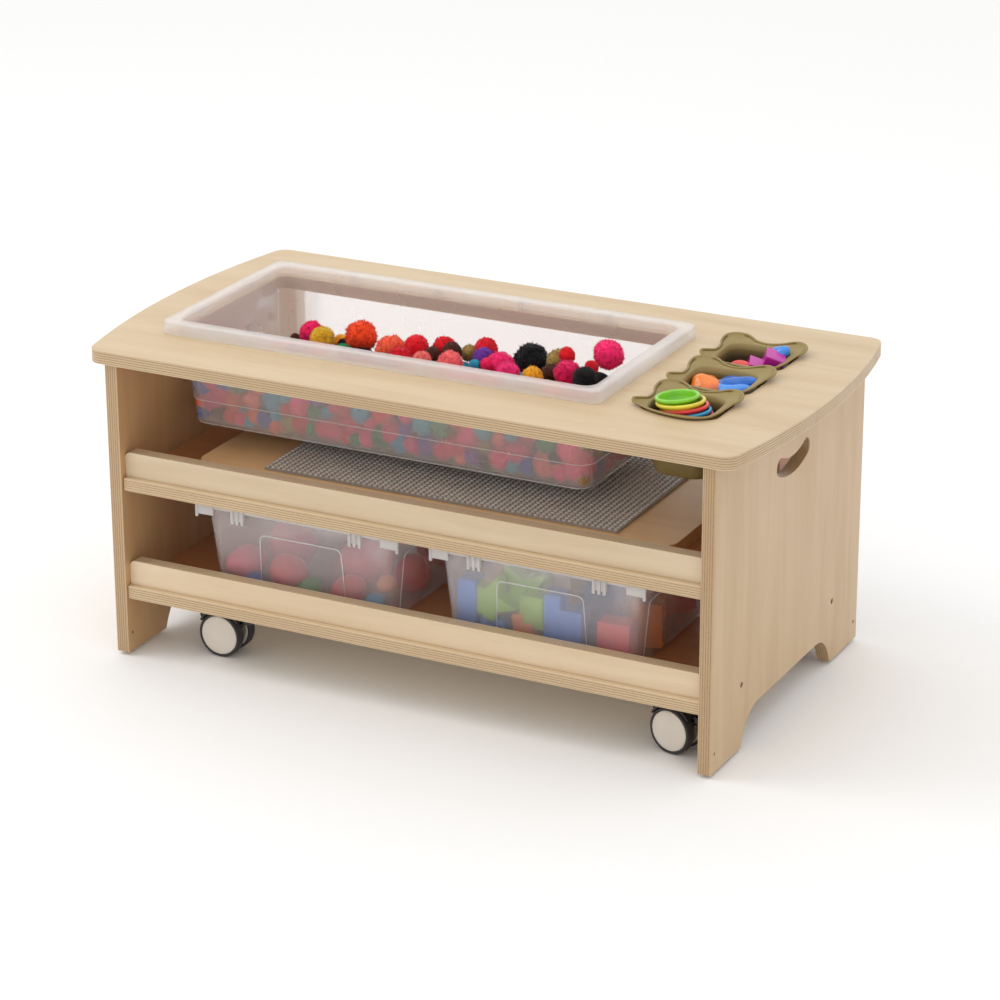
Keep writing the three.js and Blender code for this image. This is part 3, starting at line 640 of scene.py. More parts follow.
def build_bin(side):
    low, high, size, centre = size_of(f"bin_{side}")
    length, depth = size.x - 2 * BIN_FLANGE, size.y - 2 * BIN_FLANGE
    floor, top = low.z, high.z

    def at(inset, z, radius):
        ring = rounded_ring(centre, length - 2 * inset, depth - 2 * inset, radius, z, 8)
        return along_edges(ring, 8, 8)

    def inset_at(z):
        return BIN_DRAFT * (1 - (z - floor) / (top - floor))

    rings = [
        at(BIN_DRAFT + 12 * MM, floor + 1 * MM, 8 * MM), at(BIN_DRAFT + 8 * MM, floor, 11 * MM),
        at(BIN_DRAFT + 4 * MM, floor + 0.6 * MM, 13 * MM), at(BIN_DRAFT + 1 * MM, floor + 3 * MM, 16 * MM),
        at(inset_at(floor + 8 * MM), floor + 8 * MM, 17 * MM),
        at(inset_at(top - 7 * MM), top - 7 * MM, 17 * MM), at(-0.6 * MM, top - 6.2 * MM, 17 * MM),
        at(-BIN_FLANGE + 0.4 * MM, top - 6.0 * MM, 18 * MM), at(-BIN_FLANGE, top - 5.4 * MM, 18 * MM),
        at(-BIN_FLANGE, top - 0.8 * MM, 18 * MM), at(-BIN_FLANGE + 0.8 * MM, top, 18 * MM),
        at(BIN_WALL - 0.6 * MM, top, 15 * MM), at(BIN_WALL, top - 0.8 * MM, 15 * MM),
        at(inset_at(floor + 8 * MM) + BIN_WALL, floor + 8 * MM, 15 * MM),
        at(BIN_DRAFT + BIN_WALL + 3 * MM, floor + 4 * MM, 13 * MM),
        at(BIN_DRAFT + BIN_WALL + 8 * MM, floor + 2.4 * MM, 10 * MM),
        at(BIN_DRAFT + BIN_WALL + 12 * MM, floor + 2.2 * MM, 7 * MM),
    ]
    soup = Soup()
    soup.add(*loft(rings))

    def panel_bead(half_width, foot, head, on_wall):
        """An upside-down U that stands a little proud of a wall."""
        corner = 9 * MM
        line = [(-half_width - 3 * MM, foot), (-half_width, head - corner)]
        for k in range(1, 7):
            angle = math.pi - k * math.pi / 12
            line.append((-half_width + corner + corner * math.cos(angle),
                         head - corner + corner * math.sin(angle)))
        line += [(-x, z) for x, z in reversed(line)]
        points = [on_wall(x, z) for x, z in line]
        soup.add(*tube(points, 0.8 * MM, 8), look=1)

    foot, head = floor + 12 * MM, floor + 92 * MM
    front, back = centre.y - depth / 2, centre.y + depth / 2
    left, right = centre.x - length / 2, centre.x + length / 2
    panel_bead(61 * MM, foot, head, lambda u, z: (centre.x + u, front + inset_at(z) + 0.1 * MM, z))
    panel_bead(61 * MM, foot, head, lambda u, z: (centre.x + u, back - inset_at(z) - 0.1 * MM, z))
    panel_bead(157 * MM, foot, head, lambda u, z: (left + inset_at(z) + 0.1 * MM, centre.y + u, z))
    panel_bead(157 * MM, foot, head, lambda u, z: (right - inset_at(z) - 0.1 * MM, centre.y + u, z))
    shell = soup.build(f"bin_{side}_shell", [MATERIAL["bin"], MATERIAL["bead"]])
    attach(shell, f"bin_{side}")
    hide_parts(f"bin_{side}")


def build_lid(side):
    _, bin_high, bin_size, centre = size_of(f"bin_{side}")
    length, depth = bin_size.x + 14 * MM, bin_size.y + 8 * MM
    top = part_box(f"bin_lid_{side}")[1].z
    seat = bin_high.z + 0.3 * MM
    skirt = top - 9 * MM

    def at(inset, z, radius):
        ring = rounded_ring(centre, length - 2 * inset, depth - 2 * inset, radius, z, 8)
        return along_edges(ring, 8, 8)

    rings = [
        at(30 * MM, seat, 10 * MM), at(3.0 * MM, seat, 20 * MM), at(2.4 * MM, seat - 0.6 * MM, 20 * MM),
        at(2.2 * MM, skirt + 0.4 * MM, 20 * MM), at(1.8 * MM, skirt, 20 * MM),
        at(0.4 * MM, skirt, 22 * MM), at(0.0, skirt + 0.5 * MM, 22 * MM),
        at(0.0, top - 2.0 * MM, 22 * MM), at(0.6 * MM, top - 0.7 * MM, 22 * MM),
        at(2.0 * MM, top, 21 * MM), at(9.0 * MM, top, 18 * MM), at(10.6 * MM, top - 0.6 * MM, 17 * MM),
        at(12.0 * MM, top - 2.2 * MM, 16 * MM), at(30 * MM, top - 2.4 * MM, 10 * MM),
        at(34 * MM, top - 1.6 * MM, 9 * MM), at(38 * MM, top - 1.5 * MM, 8 * MM),
    ]
    soup = Soup()
    soup.add(*loft(rings))
    front = centre.y - depth / 2

    def block(x0, x1, y0, y1, z0, z1, radius=0.6 * MM):
        middle = ((x0 + x1) / 2, (y0 + y1) / 2)
        plan = [rounded_ring(middle, x1 - x0 - 2 * s, y1 - y0 - 2 * s, radius, z, 3)
                for s, z in ((0.3 * MM, z0), (0, z0 + 0.4 * MM), (0, z1 - 0.4 * MM), (0.3 * MM, z1))]
        soup.add(*loft(plan))

    # Clips: a thin tongue with three ribs and a hooked foot.
    for offset in (-88 * MM, 88 * MM):
        x = centre.x + offset
        block(x - 10 * MM, x + 10 * MM, front - 1.2 * MM, front + 1.0 * MM, top - 20 * MM, top - 2 * MM)
        for rib in (-7.5 * MM, 0.0, 7.5 * MM):
            block(x + rib - 2.1 * MM, x + rib + 2.1 * MM, front - 3.0 * MM, front - 0.4 * MM,
                  top - 24 * MM, top - 2.4 * MM, 0.9 * MM)
    # End tabs near the front corners, with a hook turned down over the bin's front.
    for sx in (-1, 1):
        x = centre.x + sx * (length / 2 - 15 * MM)
        block(x - 13 * MM, x + 13 * MM, front - 1.6 * MM, front + 1.0 * MM, top - 18 * MM, top - 2 * MM,
              1.0 * MM)
        x = centre.x + sx * (length / 2 - 3 * MM)
        block(x - 2 * MM, x + 2 * MM, front - 2.6 * MM, front + 0.6 * MM, top - 22 * MM, top - 2.4 * MM,
              0.9 * MM)
        x = centre.x + sx * (length / 2 + 3.0 * MM)
        y = front + 24 * MM
        plan = [rounded_ring((x, y), 10 * MM - 2 * s, 24 * MM - 2 * s, 3.5 * MM, z, 5)
                for s, z in ((0.6 * MM, top - 9 * MM), (0, top - 8.4 * MM), (0, top - 3.6 * MM),
                             (0.8 * MM, top - 3 * MM))]
        soup.add(*loft(plan))
    lid = soup.build(f"bin_lid_{side}_shell", MATERIAL["lid"])
    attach(lid, f"bin_{side}")
    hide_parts(f"bin_lid_{side}")


# ---- cups -----------------------------------------------------------------------------------
# The soft rim's outline round the cup: x and y from the cup's middle, and height above the table.
CUP_RIM = (
    (51, -2, 4.5), (54, 14, 6), (60, 28, 8.5), (57, 42, 10.5), (46, 50, 11.5), (34, 49, 10.5),
    (20, 43, 8), (3, 39, 7), (-13, 42, 8), (-21, 46, 10.5), (-31, 50, 12), (-45, 48, 12.5),
    (-54, 38, 12), (-55, 24, 9), (-50, 8, 7), (-50, -8, 6.5), (-57, -15, 7.5), (-64, -20, 7.5),
    (-62, -27, 5.5), (-50, -33, 4.5), (-32, -42, 4), (-10, -48, 4), (14, -50, 4), (32, -46, 4),
    (44, -36, 4), (49, -20, 4),
)
CUP_BEAD = 1.5 * MM
CUP_MOUTH = Vector((43.5, 34.5)) * MM       # half sizes of the basin's mouth
CUP_FOOT = Vector((36, 27)) * MM            # half sizes of its flat floor
CUP_SHIFT = -2.5 * MM                       # the mouth sits a little towards the front
CUP_WALL = 2.0 * MM


def smooth_loop(points, steps):
    """A closed smooth line through points, by the Catmull-Rom rule."""
    points = [Vector(p) for p in points]
    line = []
    for i in range(len(points)):
        a, b, c, d = (points[(i + k) % len(points)] for k in (-1, 0, 1, 2))
        for step in range(steps):
            t = step / steps
            line.append(0.5 * (2 * b + (c - a) * t + (2 * a - 5 * b + 4 * c - d) * t ** 2
                               + (3 * b - a - 3 * c + d) * t ** 3))
    return line


def build_cup(place):
    low, _, _, centre = size_of(f"cup_{place}")
    rim = [p * MM for p in smooth_loop(CUP_RIM, 6)]
    count = len(rim)
    outward = []
    for i in range(count):
        ahead = rim[(i + 1) % count] - rim[i - 1]
        outward.append(Vector((ahead.y, -ahead.x, 0)).normalized())
    angles = [math.atan2(p.y, p.x) for p in rim]

    def basin(half, z, power=4.5):
        """A rounded rectangle with a point at each rim point's angle."""
        ring = []
        for angle in angles:
            c, d = abs(math.cos(angle)) / half.x, abs(math.sin(angle)) / half.y
            reach = (c ** power + d ** power) ** (-1 / power)
            ring.append(Vector((reach * math.cos(angle), reach * math.sin(angle) + CUP_SHIFT, z)))
        return ring

    def rolled(out, up):
        """The rim line moved outwards and up by parts of the bead's radius."""
        return [p + n * (out * CUP_BEAD) + Vector((0, 0, TABLE_Z + up * CUP_BEAD))
                for p, n in zip(rim, outward)]

    def flange(share, drop=0.0):
        """Between the rim and the mouth; the slope is hollow, as the rubber sags."""
        mouth = basin(CUP_MOUTH, TABLE_Z)
        ring = []
        for p, m in zip(rim, mouth):
            back = (m.y + CUP_MOUTH.y) / (2 * CUP_MOUTH.y)
            mouth_rise = (2.2 + 3.6 * back) * MM
            height = p.z + (mouth_rise - p.z) * (share ** 0.8)
            spot = Vector((p.x, p.y, 0)).lerp(Vector((m.x, m.y, 0)), share)
            ring.append(Vector((spot.x, spot.y, TABLE_Z + height - drop)))
        return ring

    def wall(depth, inset=0.0):
        """The basin's wall at a share of its depth."""
        ease = depth ** 1.15
        half = CUP_MOUTH.lerp(CUP_FOOT, ease) - Vector((inset + 1.2 * MM, inset + 1.2 * MM))
        return basin(half, TABLE_Z - 2 * MM + (low.z - TABLE_Z + 2 * MM) * depth, 4.5 - 1.3 * depth)

    def floor_ring(shrink, z):
        return [Vector((p.x * shrink, (p.y - CUP_SHIFT) * shrink + CUP_SHIFT, z)) for p in wall(1.0)]

    outside = -CUP_WALL
    rings = [
        floor_ring(0.55, low.z + 0.6 * MM), floor_ring(0.86, low.z), floor_ring(1.0, low.z + 1.2 * MM),
        wall(0.93, outside), wall(0.7, outside), wall(0.4, outside), wall(0.12, outside),
        flange(0.97, 2.2 * MM), flange(0.7, 1.9 * MM), flange(0.35, 1.7 * MM),
        flange(0.08, 1.6 * MM), rolled(0.0, -1.1), rolled(0.75, -0.75), rolled(1.0, 0.0),
        rolled(0.75, 0.75), rolled(0.0, 1.0), rolled(-0.8, 0.7), rolled(-1.5, -0.7),
        flange(0.12), flange(0.35), flange(0.65), flange(0.9), flange(1.0, 0.6 * MM), wall(0.0),
        wall(0.12), wall(0.3), wall(0.5), wall(0.7), wall(0.86),
        floor_ring(0.93, low.z + 4.6 * MM), floor_ring(0.8, low.z + 2.8 * MM),
        floor_ring(0.5, low.z + 2.4 * MM),
    ]
    home = Vector((centre.x, centre.y, 0))
    rings = [[p + home for p in ring] for ring in rings]
    vertices, faces = loft(rings)
    mouth = 23 * count       # the rings from the mouth's edge on are the basin's inside
    looks = [int(min(face) >= mouth) for face in faces]
    # The basin's inside takes the rubber with the deep painted shade.
    shell = mesh_object(f"cup_{place}_shell", vertices, faces, [MATERIAL["olive"], MATERIAL["basin"]],
                        looks=looks)
    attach(shell, f"cup_{place}")
    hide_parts(f"cup_{place}")


# ---- toys in the cups and bins ----------------------------------------------------------------
def toy_piece(name, shell, colour, body, smooth=True):
    piece = mesh_object(name, *shell, toy(colour))
    if not smooth:
        bevel(piece, 1.4 * MM, 3)
        piece.modifiers.new("normals", "WEIGHTED_NORMAL").keep_sharp = False
    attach(piece, body)
    return piece


def placed(x, y, z, turn=(0, 0, 0)):
    """A place in mm and a turn in degrees about X, Y and Z."""
    matrix = Matrix.Translation(Vector((x, y, z)) * MM)
    for angle, axis in zip(turn, "XYZ"):
        matrix = matrix @ Matrix.Rotation(math.radians(angle), 4, axis)
    return matrix


def stepped_block(steps, depth):
    """A block whose outline goes up in steps: (width, height) of each, in mm."""
    x = -sum(width for width, _ in steps) / 2
    outline = [(x, 0.0)]
    for width, height in steps:
        outline += [(x, height), (x + width, height)]
        x += width
    outline.append((x, 0.0))
    outline = [p for i, p in enumerate(outline) if i == 0 or p != outline[i - 1]]
    front = [(px * MM, -depth / 2 * MM, pz * MM) for px, pz in outline]
    back = [(px * MM, depth / 2 * MM, pz * MM) for px, pz in outline]
    count = len(front)
    faces = [tuple(range(count)), tuple(reversed(range(count, 2 * count)))]
    faces += [((i + 1) % count, i, count + i, count + (i + 1) % count) for i in range(count)]
    return front + back, faces


def star(points, outer, inner, depth):
    """A star with that many points, upright in the XZ plane."""
    outline = []
    for k in range(2 * points):
        reach = outer if k % 2 == 0 else inner
        angle = math.pi / 2 + math.pi * k / points
        outline.append((reach * math.cos(angle) * MM, reach * math.sin(angle) * MM))
    front = [(x, -depth / 2 * MM, z) for x, z in outline]
    back = [(x, depth / 2 * MM, z) for x, z in outline]
    count = len(front)
    hub = [(0, -depth / 2 * MM, 0), (0, depth / 2 * MM, 0)]
    faces = []
    for i in range(count):
        j = (i + 1) % count
        faces += [(j, i, 2 * count), (count + i, count + j, 2 * count + 1), (i, j, count + j, count + i)]
    return front + back + hub, faces


def lumpy(radius, seed, stretch=(1, 1, 1), lobes=5, depth=0.16):
    """A smooth rounded toy with swelling lobes round it."""
    ball = bmesh.new()
    bmesh.ops.create_icosphere(ball, subdivisions=5, radius=1.0)
    rng = random.Random(seed)
    bumps = [Vector((rng.gauss(0, 1), rng.gauss(0, 1), rng.gauss(0, 0.6))).normalized()
             for _ in range(lobes)]
    for vertex in ball.verts:
        swell = sum(max(0.0, vertex.co.dot(bump)) ** 6 for bump in bumps)
        vertex.co *= radius * MM * (1 - depth + depth * 1.6 * swell)
        vertex.co = Vector((c * s for c, s in zip(vertex.co, stretch)))
    ball.verts.index_update()
    vertices = [v.co.copy() for v in ball.verts]
    faces = [tuple(v.index for v in f.verts) for f in ball.faces]
    ball.free()
    return vertices, faces


def nesting_cup(radius, depth, lip=2.6):
    """A small round cup with a thick rolled lip, open at the top."""
    profile = [(0, 0), (radius * 0.74, 0), (radius * 0.78, 0.8), (radius - 2.2, depth - 2 * lip)]
    for k in range(9):
        angle = math.radians(-70 + 240 * k / 8)
        profile.append((radius - lip + lip * math.cos(angle), depth - lip + lip * math.sin(angle)))
    profile += [(radius - 2 * lip + 0.4, depth - 2 * lip - 2), (radius * 0.74 - 2, 2.2), (0, 2.0)]
    return lathe([(r * MM, z * MM) for r, z in profile], 72)


# The stack's cups from the top: colour and radius in mm.
NESTED = (("lime", 28.5), ("lemon", 31.8), ("scarlet", 31.6), ("sky", 31.0), ("rose", 29.5))
NESTED_STEP = Vector((3.9, 1.2, -4.5))      # from one cup to the next one down, in mm


def fill_cups():
    centre = size_of("cup_front")[3]
    top = Vector((centre.x / MM - 7, centre.y / MM - 11, 428))
    for i, (colour, radius) in enumerate(NESTED):
        spot = top + NESTED_STEP * i
        depth = 20 - 1.6 * i
        matrix = placed(spot.x, spot.y, spot.z, (-2, -7, 20 * i))
        shell = nesting_cup(radius, depth)
        toy_piece(f"nested_cup_{colour}", moved(shell, matrix), colour, "cup_front")
    centre = size_of("cup_middle")[3]
    x, y = centre.x / MM, centre.y / MM
    for name, colour, dx, dy, z, shell in (
            ("duck_body", "tangerine", -28, 3, 425, lumpy(18, 3, (1.0, 0.9, 0.85), 6, 0.3)),
            ("duck_side", "rust", -8, -6, 420, lumpy(16, 8, (0.95, 1.0, 0.8), 5, 0.3)),
            ("boat", "royal", 18, 14, 424, lumpy(19, 5, (1.35, 0.9, 0.8), 6, 0.3)),
            ("boat_end", "cornflower", 17, -7, 422, lumpy(17, 7, (1.3, 0.9, 0.7), 5, 0.3))):
        matrix = placed(x + dx, y + dy, z)
        toy_piece(f"cup_toy_{name}", moved(shell, matrix), colour, "cup_middle")
    centre = size_of("cup_rear")[3]
    x, y = centre.x / MM, centre.y / MM
    toy_piece("cup_toy_pebble", moved(lumpy(15, 2, (1.2, 0.9, 0.7)), placed(x - 12, y - 12, 420)),
              "scarlet", "cup_rear")
    block = stepped_block(((16, 17), (26, 36)), 28)
    toy_piece("cup_toy_block", moved(block, placed(x + 13, y - 6, 410, (0, 22, 22))), "magenta",
              "cup_rear", smooth=False)
    toy_piece("cup_toy_ball", moved(lumpy(17, 6, (1, 1, 0.9), 5, 0.3), placed(x + 28, y + 17, 434)),
              "cornflower", "cup_rear")


# Each bin's load: name, colour, shape, place in mm with x from the bin's middle, turn in degrees.
LEFT_LOAD = (
    ("ball_a", "rose", lumpy(25, 1, depth=0.10), (-103, -165, 136), (0, 0, 0)),
    ("ball_b", "royal", lumpy(16, 2, depth=0.08), (-85, -178, 114), (0, 0, 0)),
    ("ball_c", "brick", lumpy(26, 3, depth=0.12), (-42, -168, 134), (0, 0, 0)),
    ("ball_d", "leaf", lumpy(17, 4, depth=0.10), (-3, -174, 117), (0, 0, 0)),
    ("ball_e", "scarlet", lumpy(24, 5, depth=0.12), (55, -170, 124), (0, 0, 0)),
    ("ball_f", "sky", lumpy(15, 6, depth=0.10), (97, -178, 117), (0, 0, 0)),
    ("ball_g", "tangerine", lumpy(13, 7, depth=0.10), (105, -162, 140), (0, 0, 0)),
    ("ball_h", "rose", lumpy(36, 8, depth=0.08), (43, -104, 142), (0, 0, 0)),
    ("ball_i", "rose", lumpy(34, 9, depth=0.08), (-75, -96, 140), (0, 0, 0)),
    ("ball_j", "scarlet", lumpy(26, 10, depth=0.10), (109, -96, 130), (0, 0, 0)),
    ("ball_k", "brick", lumpy(30, 12, depth=0.10), (99, 0, 134), (0, 0, 0)),
    ("ball_l", "plum", lumpy(38, 13, depth=0.10), (-17, 10, 142), (0, 0, 0)),
    ("ball_m", "magenta", lumpy(34, 14, depth=0.10), (-87, 40, 138), (0, 0, 0)),
    ("ball_n", "tangerine", lumpy(30, 15, depth=0.10), (53, 90, 136), (0, 0, 0)),
)
RIGHT_LOAD = (
    ("block_a", "cornflower", stepped_block(((26, 74),), 30), (-113, -172, 106), (0, 0, 4)),
    ("block_b", "magenta", stepped_block(((36, 14),), 10), (-103, -186, 105), (0, 0, 0)),
    ("star_a", "apple", star(5, 42, 19, 22), (-85, -172, 152), (0, 24, 0)),
    ("star_b", "lime", star(4, 46, 17, 22), (-45, -150, 166), (0, 50, 0)),
    ("block_c", "apple", stepped_block(((34, 44),), 26), (-22, -170, 127), (0, 0, 0)),
    ("wedge", "tangerine", stepped_block(((15, 40), (13, 28)), 16), (-29, -179, 105), (0, -8, 0)),
    ("block_d", "cornflower", stepped_block(((36, 26),), 30), (-77, -168, 104), (0, 0, 0)),
    ("block_e", "cornflower", stepped_block(((24, 76), (30, 58)), 28), (25, -174, 105), (0, 0, 0)),
    ("block_f", "brick", stepped_block(((44, 52),), 28), (95, -174, 106), (0, 0, 3)),
    ("block_g", "tangerine", stepped_block(((40, 60),), 40), (109, -110, 106), (0, 0, 18)),
    ("block_h", "leaf", stepped_block(((60, 78),), 30), (-61, -110, 106), (0, 0, -12)),
    ("block_i", "royal", stepped_block(((50, 84),), 34), (41, -96, 106), (0, 0, 20)),
    ("block_j", "brick", stepped_block(((60, 66),), 40), (89, 0, 106), (0, 0, 60)),
    ("block_k", "sun", stepped_block(((60, 70),), 40), (-31, 20, 106), (0, 0, 30)),
)


def fill_bins():
    for side, load in (("left", LEFT_LOAD), ("right", RIGHT_LOAD)):
        middle = size_of(f"bin_{side}")[3].x / MM
        for name, colour, shell, (x, y, z), turn in load:
            toy_piece(f"bin_{side}_{name}", moved(shell, placed(middle + x, y, z, turn)), colour,
                      f"bin_{side}", smooth=name.startswith("ball"))


# ---- studded building plates ------------------------------------------------------------------
def build_plate(side):
    low, _, size, centre = size_of(f"brick_plate_{side}")
    skin = 3.1 * MM          # thickness under the studs
    soup = Soup()
    edge = 0.25 * MM
    plan = [rounded_ring(centre, size.x - 2 * s, size.y - 2 * s, 1.2 * MM, z, 3)
            for s, z in ((edge, low.z), (0, low.z + edge), (0, low.z + skin - edge),
                         (edge, low.z + skin))]
    soup.add(*loft(plan))
    sides = 10
    count_x, count_y = round(size.x / STUD_PITCH), round(size.y / STUD_PITCH)
    top = low.z + skin
    profile = ((1.0, -0.2 * MM), (1.0, STUD_HEIGHT - 0.3 * MM), (0.88, STUD_HEIGHT))
    circle = [(math.cos(2 * math.pi * k / sides), math.sin(2 * math.pi * k / sides))
              for k in range(sides)]
    for i in range(count_x):
        for j in range(count_y):
            x = centre.x + (i + 0.5 - count_x / 2) * STUD_PITCH
            y = centre.y + (j + 0.5 - count_y / 2) * STUD_PITCH
            rings = [[(x + c * STUD_RADIUS * r, y + s * STUD_RADIUS * r, top + z) for c, s in circle]
                     for r, z in profile]
            soup.add(*loft(rings), look=1)
    # The studs take the lighter material with the painted highlight, the plate the darker one with painted
    # shade.
    looks = [MATERIAL["plate"], MATERIAL["stud_painted_highlight"]]
    plate = soup.build(f"brick_plate_{side}_studded", looks, smooth=False)
    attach(plate, "cover")
    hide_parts(f"brick_plate_{side}")


# ---- casters ------------------------------------------------------------------------------------
def spin_frame(name):
    """The axle's place and direction for one caster, as a matrix whose Z is the axle."""
    joint = JOINTS[f"roll_{name}"]
    axis = Vector(joint["axis"]).normalized()
    along = axis.to_track_quat("Z", "Y").to_matrix().to_4x4()
    return Matrix.Translation(Vector(joint["pos_m"])) @ along


def build_wheels(name):
    matrix = spin_frame(name)
    radius = JOINTS[f"roll_{name}"]["pos_m"][2]
    hub_radius = 27.2 * MM
    half = 7.5 * MM
    for letter, side in (("a", -1), ("b", 1)):
        middle = side * 14.5 * MM
        flip = Matrix.Diagonal((1, 1, side, 1)) if side > 0 else Matrix.Rotation(math.pi, 4, "X")
        offset = matrix @ Matrix.Translation((0, 0, middle)) @ flip
        inner = hub_radius + 0.3 * MM
        tread = [(inner, -half + 0.4 * MM), (inner + 0.4 * MM, -half), (radius - 2.4 * MM, -half),
                 (radius - 0.9 * MM, -half + 0.5 * MM), (radius - 0.2 * MM, -half + 1.8 * MM),
                 (radius, -half + 4 * MM), (radius, half - 4 * MM),
                 (radius - 0.2 * MM, half - 1.8 * MM), (radius - 0.9 * MM, half - 0.5 * MM),
                 (radius - 2.4 * MM, half), (inner + 0.4 * MM, half), (inner, half - 0.4 * MM),
                 (inner, -half + 0.4 * MM)]
        tyre = mesh_object(f"tyre_{name}_{letter}_tread", *moved(lathe(tread), offset),
                           MATERIAL["tyre"])
        face = half - 0.4 * MM
        bore = 4.3 * MM
        disc = [(0, face - 5 * MM), (bore, face - 5 * MM), (bore, -half + 2 * MM),
                (9 * MM, -half + 2 * MM), (9.5 * MM, -half + 4 * MM), (22 * MM, -half + 4 * MM),
                (23 * MM, -half + 0.4 * MM), (hub_radius - 0.4 * MM, -half + 0.4 * MM),
                (hub_radius, -half + 0.8 * MM), (hub_radius, face - 1.2 * MM),
                (hub_radius - 0.5 * MM, face - 0.3 * MM), (hub_radius - 1.6 * MM, face + 0.2 * MM),
                (hub_radius - 5 * MM, face + 0.9 * MM), (14 * MM, face + 1.6 * MM),
                (6 * MM, face + 1.9 * MM), (0, face + 2.0 * MM)]
        hub = mesh_object(f"hub_{name}_{letter}_disc", *moved(lathe(disc), offset),
                          MATERIAL["disc"])
        for piece, node, look in ((tyre, f"tyre_{name}_{letter}", "tyre"),
                                  (hub, f"hub_{name}_{letter}", "disc")):
            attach(piece, f"wheels_{name}")
            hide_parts(node)


def dress_caster(name):
    build_wheels(name)
    dress(f"caster_plate_{name}", MATERIAL["steel"], 0.5 * MM, 2)
    dress(f"axle_{name}", MATERIAL["steel"], 0.4 * MM, 2)
    dress(f"caster_housing_{name}", MATERIAL["housing"], 0.8 * MM, 3)
    dress(f"brake_lever_{name}", MATERIAL["housing"], 0.9 * MM, 3)


# ---- pompoms ----------------------------------------------------------------------------------
# The heap's height above the tub's floor along the tub, in mm from its middle.
HEAP_ALONG = (-300, -250, -215, -100, 150, 200, 300)
HEAP_HEIGHTS = (72, 80, 98, 104, 108, 124, 118)
HEAP_CREST = -12 * MM        # behind this line, from the tub's middle, the heap falls away
HEAP_SLOPE = 0.45
FILLERS = ((20, 150), (15, 210), (10, 420))     # radius in mm, how many


def heap_surface(places):
    """How high the heap may reach over each place."""
    low, _, _, centre = size_of("tub")
    crest = np.interp((places[:, 0] - centre.x) / MM, HEAP_ALONG, HEAP_HEIGHTS) * MM
    behind = np.clip(places[:, 1] - centre.y - HEAP_CREST, 0, None)
    return low.z + crest - HEAP_SLOPE * behind


def settle(places, radii, fixed, walls, floor, rounds=260):
    """Lets balls sink towards the front and push apart until they rest on each other."""
    held = places[fixed].copy()
    for step in range(rounds):
        ease = 1.0 - step / rounds
        places[:, 2] -= 0.9 * MM * ease
        places[:, 1] -= 0.25 * MM * ease
        delta = places[:, None, :] - places[None, :, :]
        distance = np.sqrt((delta ** 2).sum(-1)) + 1e-9
        overlap = np.clip((radii[:, None] + radii[None, :]) * 0.95 - distance, 0, None)
        np.fill_diagonal(overlap, 0)
        push = (overlap / distance)[:, :, None] * delta * 0.45
        places += push.sum(1) / np.maximum(1, (overlap > 0).sum(1) * 0.4)[:, None]
        low, high = walls(places[:, 2])
        places[:, 0] = np.clip(places[:, 0], low[:, 0] + radii, high[:, 0] - radii)
        places[:, 1] = np.clip(places[:, 1], low[:, 1] + radii, high[:, 1] - radii)
        places[:, 2] = np.minimum(places[:, 2], heap_surface(places) - 0.9 * radii)
        places[:, 2] = np.maximum(places[:, 2], floor + radii)
        places[fixed] = held
    return places


def pompom_shape(detail, seed):
    """A lumpy, tufted ball of radius 1."""
    ball = bmesh.new()
    bmesh.ops.create_icosphere(ball, subdivisions=detail, radius=1.0)
    rng = np.random.default_rng(seed)
    waves = rng.normal(size=(9, 3)) * 3.0
    phases = rng.uniform(0, 2 * math.pi, 9)
    roughness = rng.uniform(-0.022, 0.022, len(ball.verts))
    ball.verts.ensure_lookup_table()
    for vertex, rough in zip(ball.verts, roughness):
        direction = np.array(vertex.co)
        lump = np.sin(waves @ direction + phases).sum()
        vertex.co = vertex.co * (0.94 + 0.018 * lump + rough)
    ball.verts.index_update()
    vertices = np.array([v.co[:] for v in ball.verts])
    faces = [tuple(v.index for v in f.verts) for f in ball.faces]
    ball.free()
    return vertices, faces


def with_tufts(shape, count, seed):
    """Adds short pointed tufts of yarn all over a ball."""
    vertices, faces = shape
    rng = np.random.default_rng(seed)
    spots = rng.choice(len(vertices), count)
    points, more = [vertices], list(faces)
    base = len(vertices)
    for k, spot in enumerate(spots):
        root = vertices[spot] + rng.normal(0, 0.05, 3)
        root *= np.linalg.norm(vertices[spot]) / np.linalg.norm(root)
        out = root / np.linalg.norm(root)
        lean = out + rng.normal(0, 0.35, 3)
        side = np.cross(out, rng.normal(0, 1, 3))
        side /= np.linalg.norm(side)
        across = np.cross(out, side)
        width = 0.045
        tip = root + lean * rng.uniform(0.06, 0.13)
        corners = [root + width * (math.cos(a) * side + math.sin(a) * across) - 0.03 * out
                   for a in (0, 2 * math.pi / 3, 4 * math.pi / 3)]
        points.append(np.array(corners + [tip]))
        a = base + 4 * k
        more += [(a, a + 1, a + 3), (a + 1, a + 2, a + 3), (a + 2, a, a + 3), (a + 2, a + 1, a)]
    return np.concatenate(points), more


def pompom_piece(name, balls, shapes, seed):
    """One mesh of many balls, each (place, radius, colour)."""
    rng = random.Random(seed)
    soup = Soup()
    for place, radius, tint in balls:
        vertices, faces = rng.choice(shapes)
        axis = Vector((rng.gauss(0, 1), rng.gauss(0, 1), rng.gauss(0, 1)))
        turn = np.array(Matrix.Rotation(rng.uniform(0, 6.28), 3, axis.normalized()))
        shade = tuple(min(1.0, c * rng.uniform(0.88, 1.10)) for c in tint)
        soup.add(vertices @ turn.T * radius + np.array(place), faces, shade)
    piece = soup.build(name, MATERIAL["yarn"])
    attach(piece, "tub")


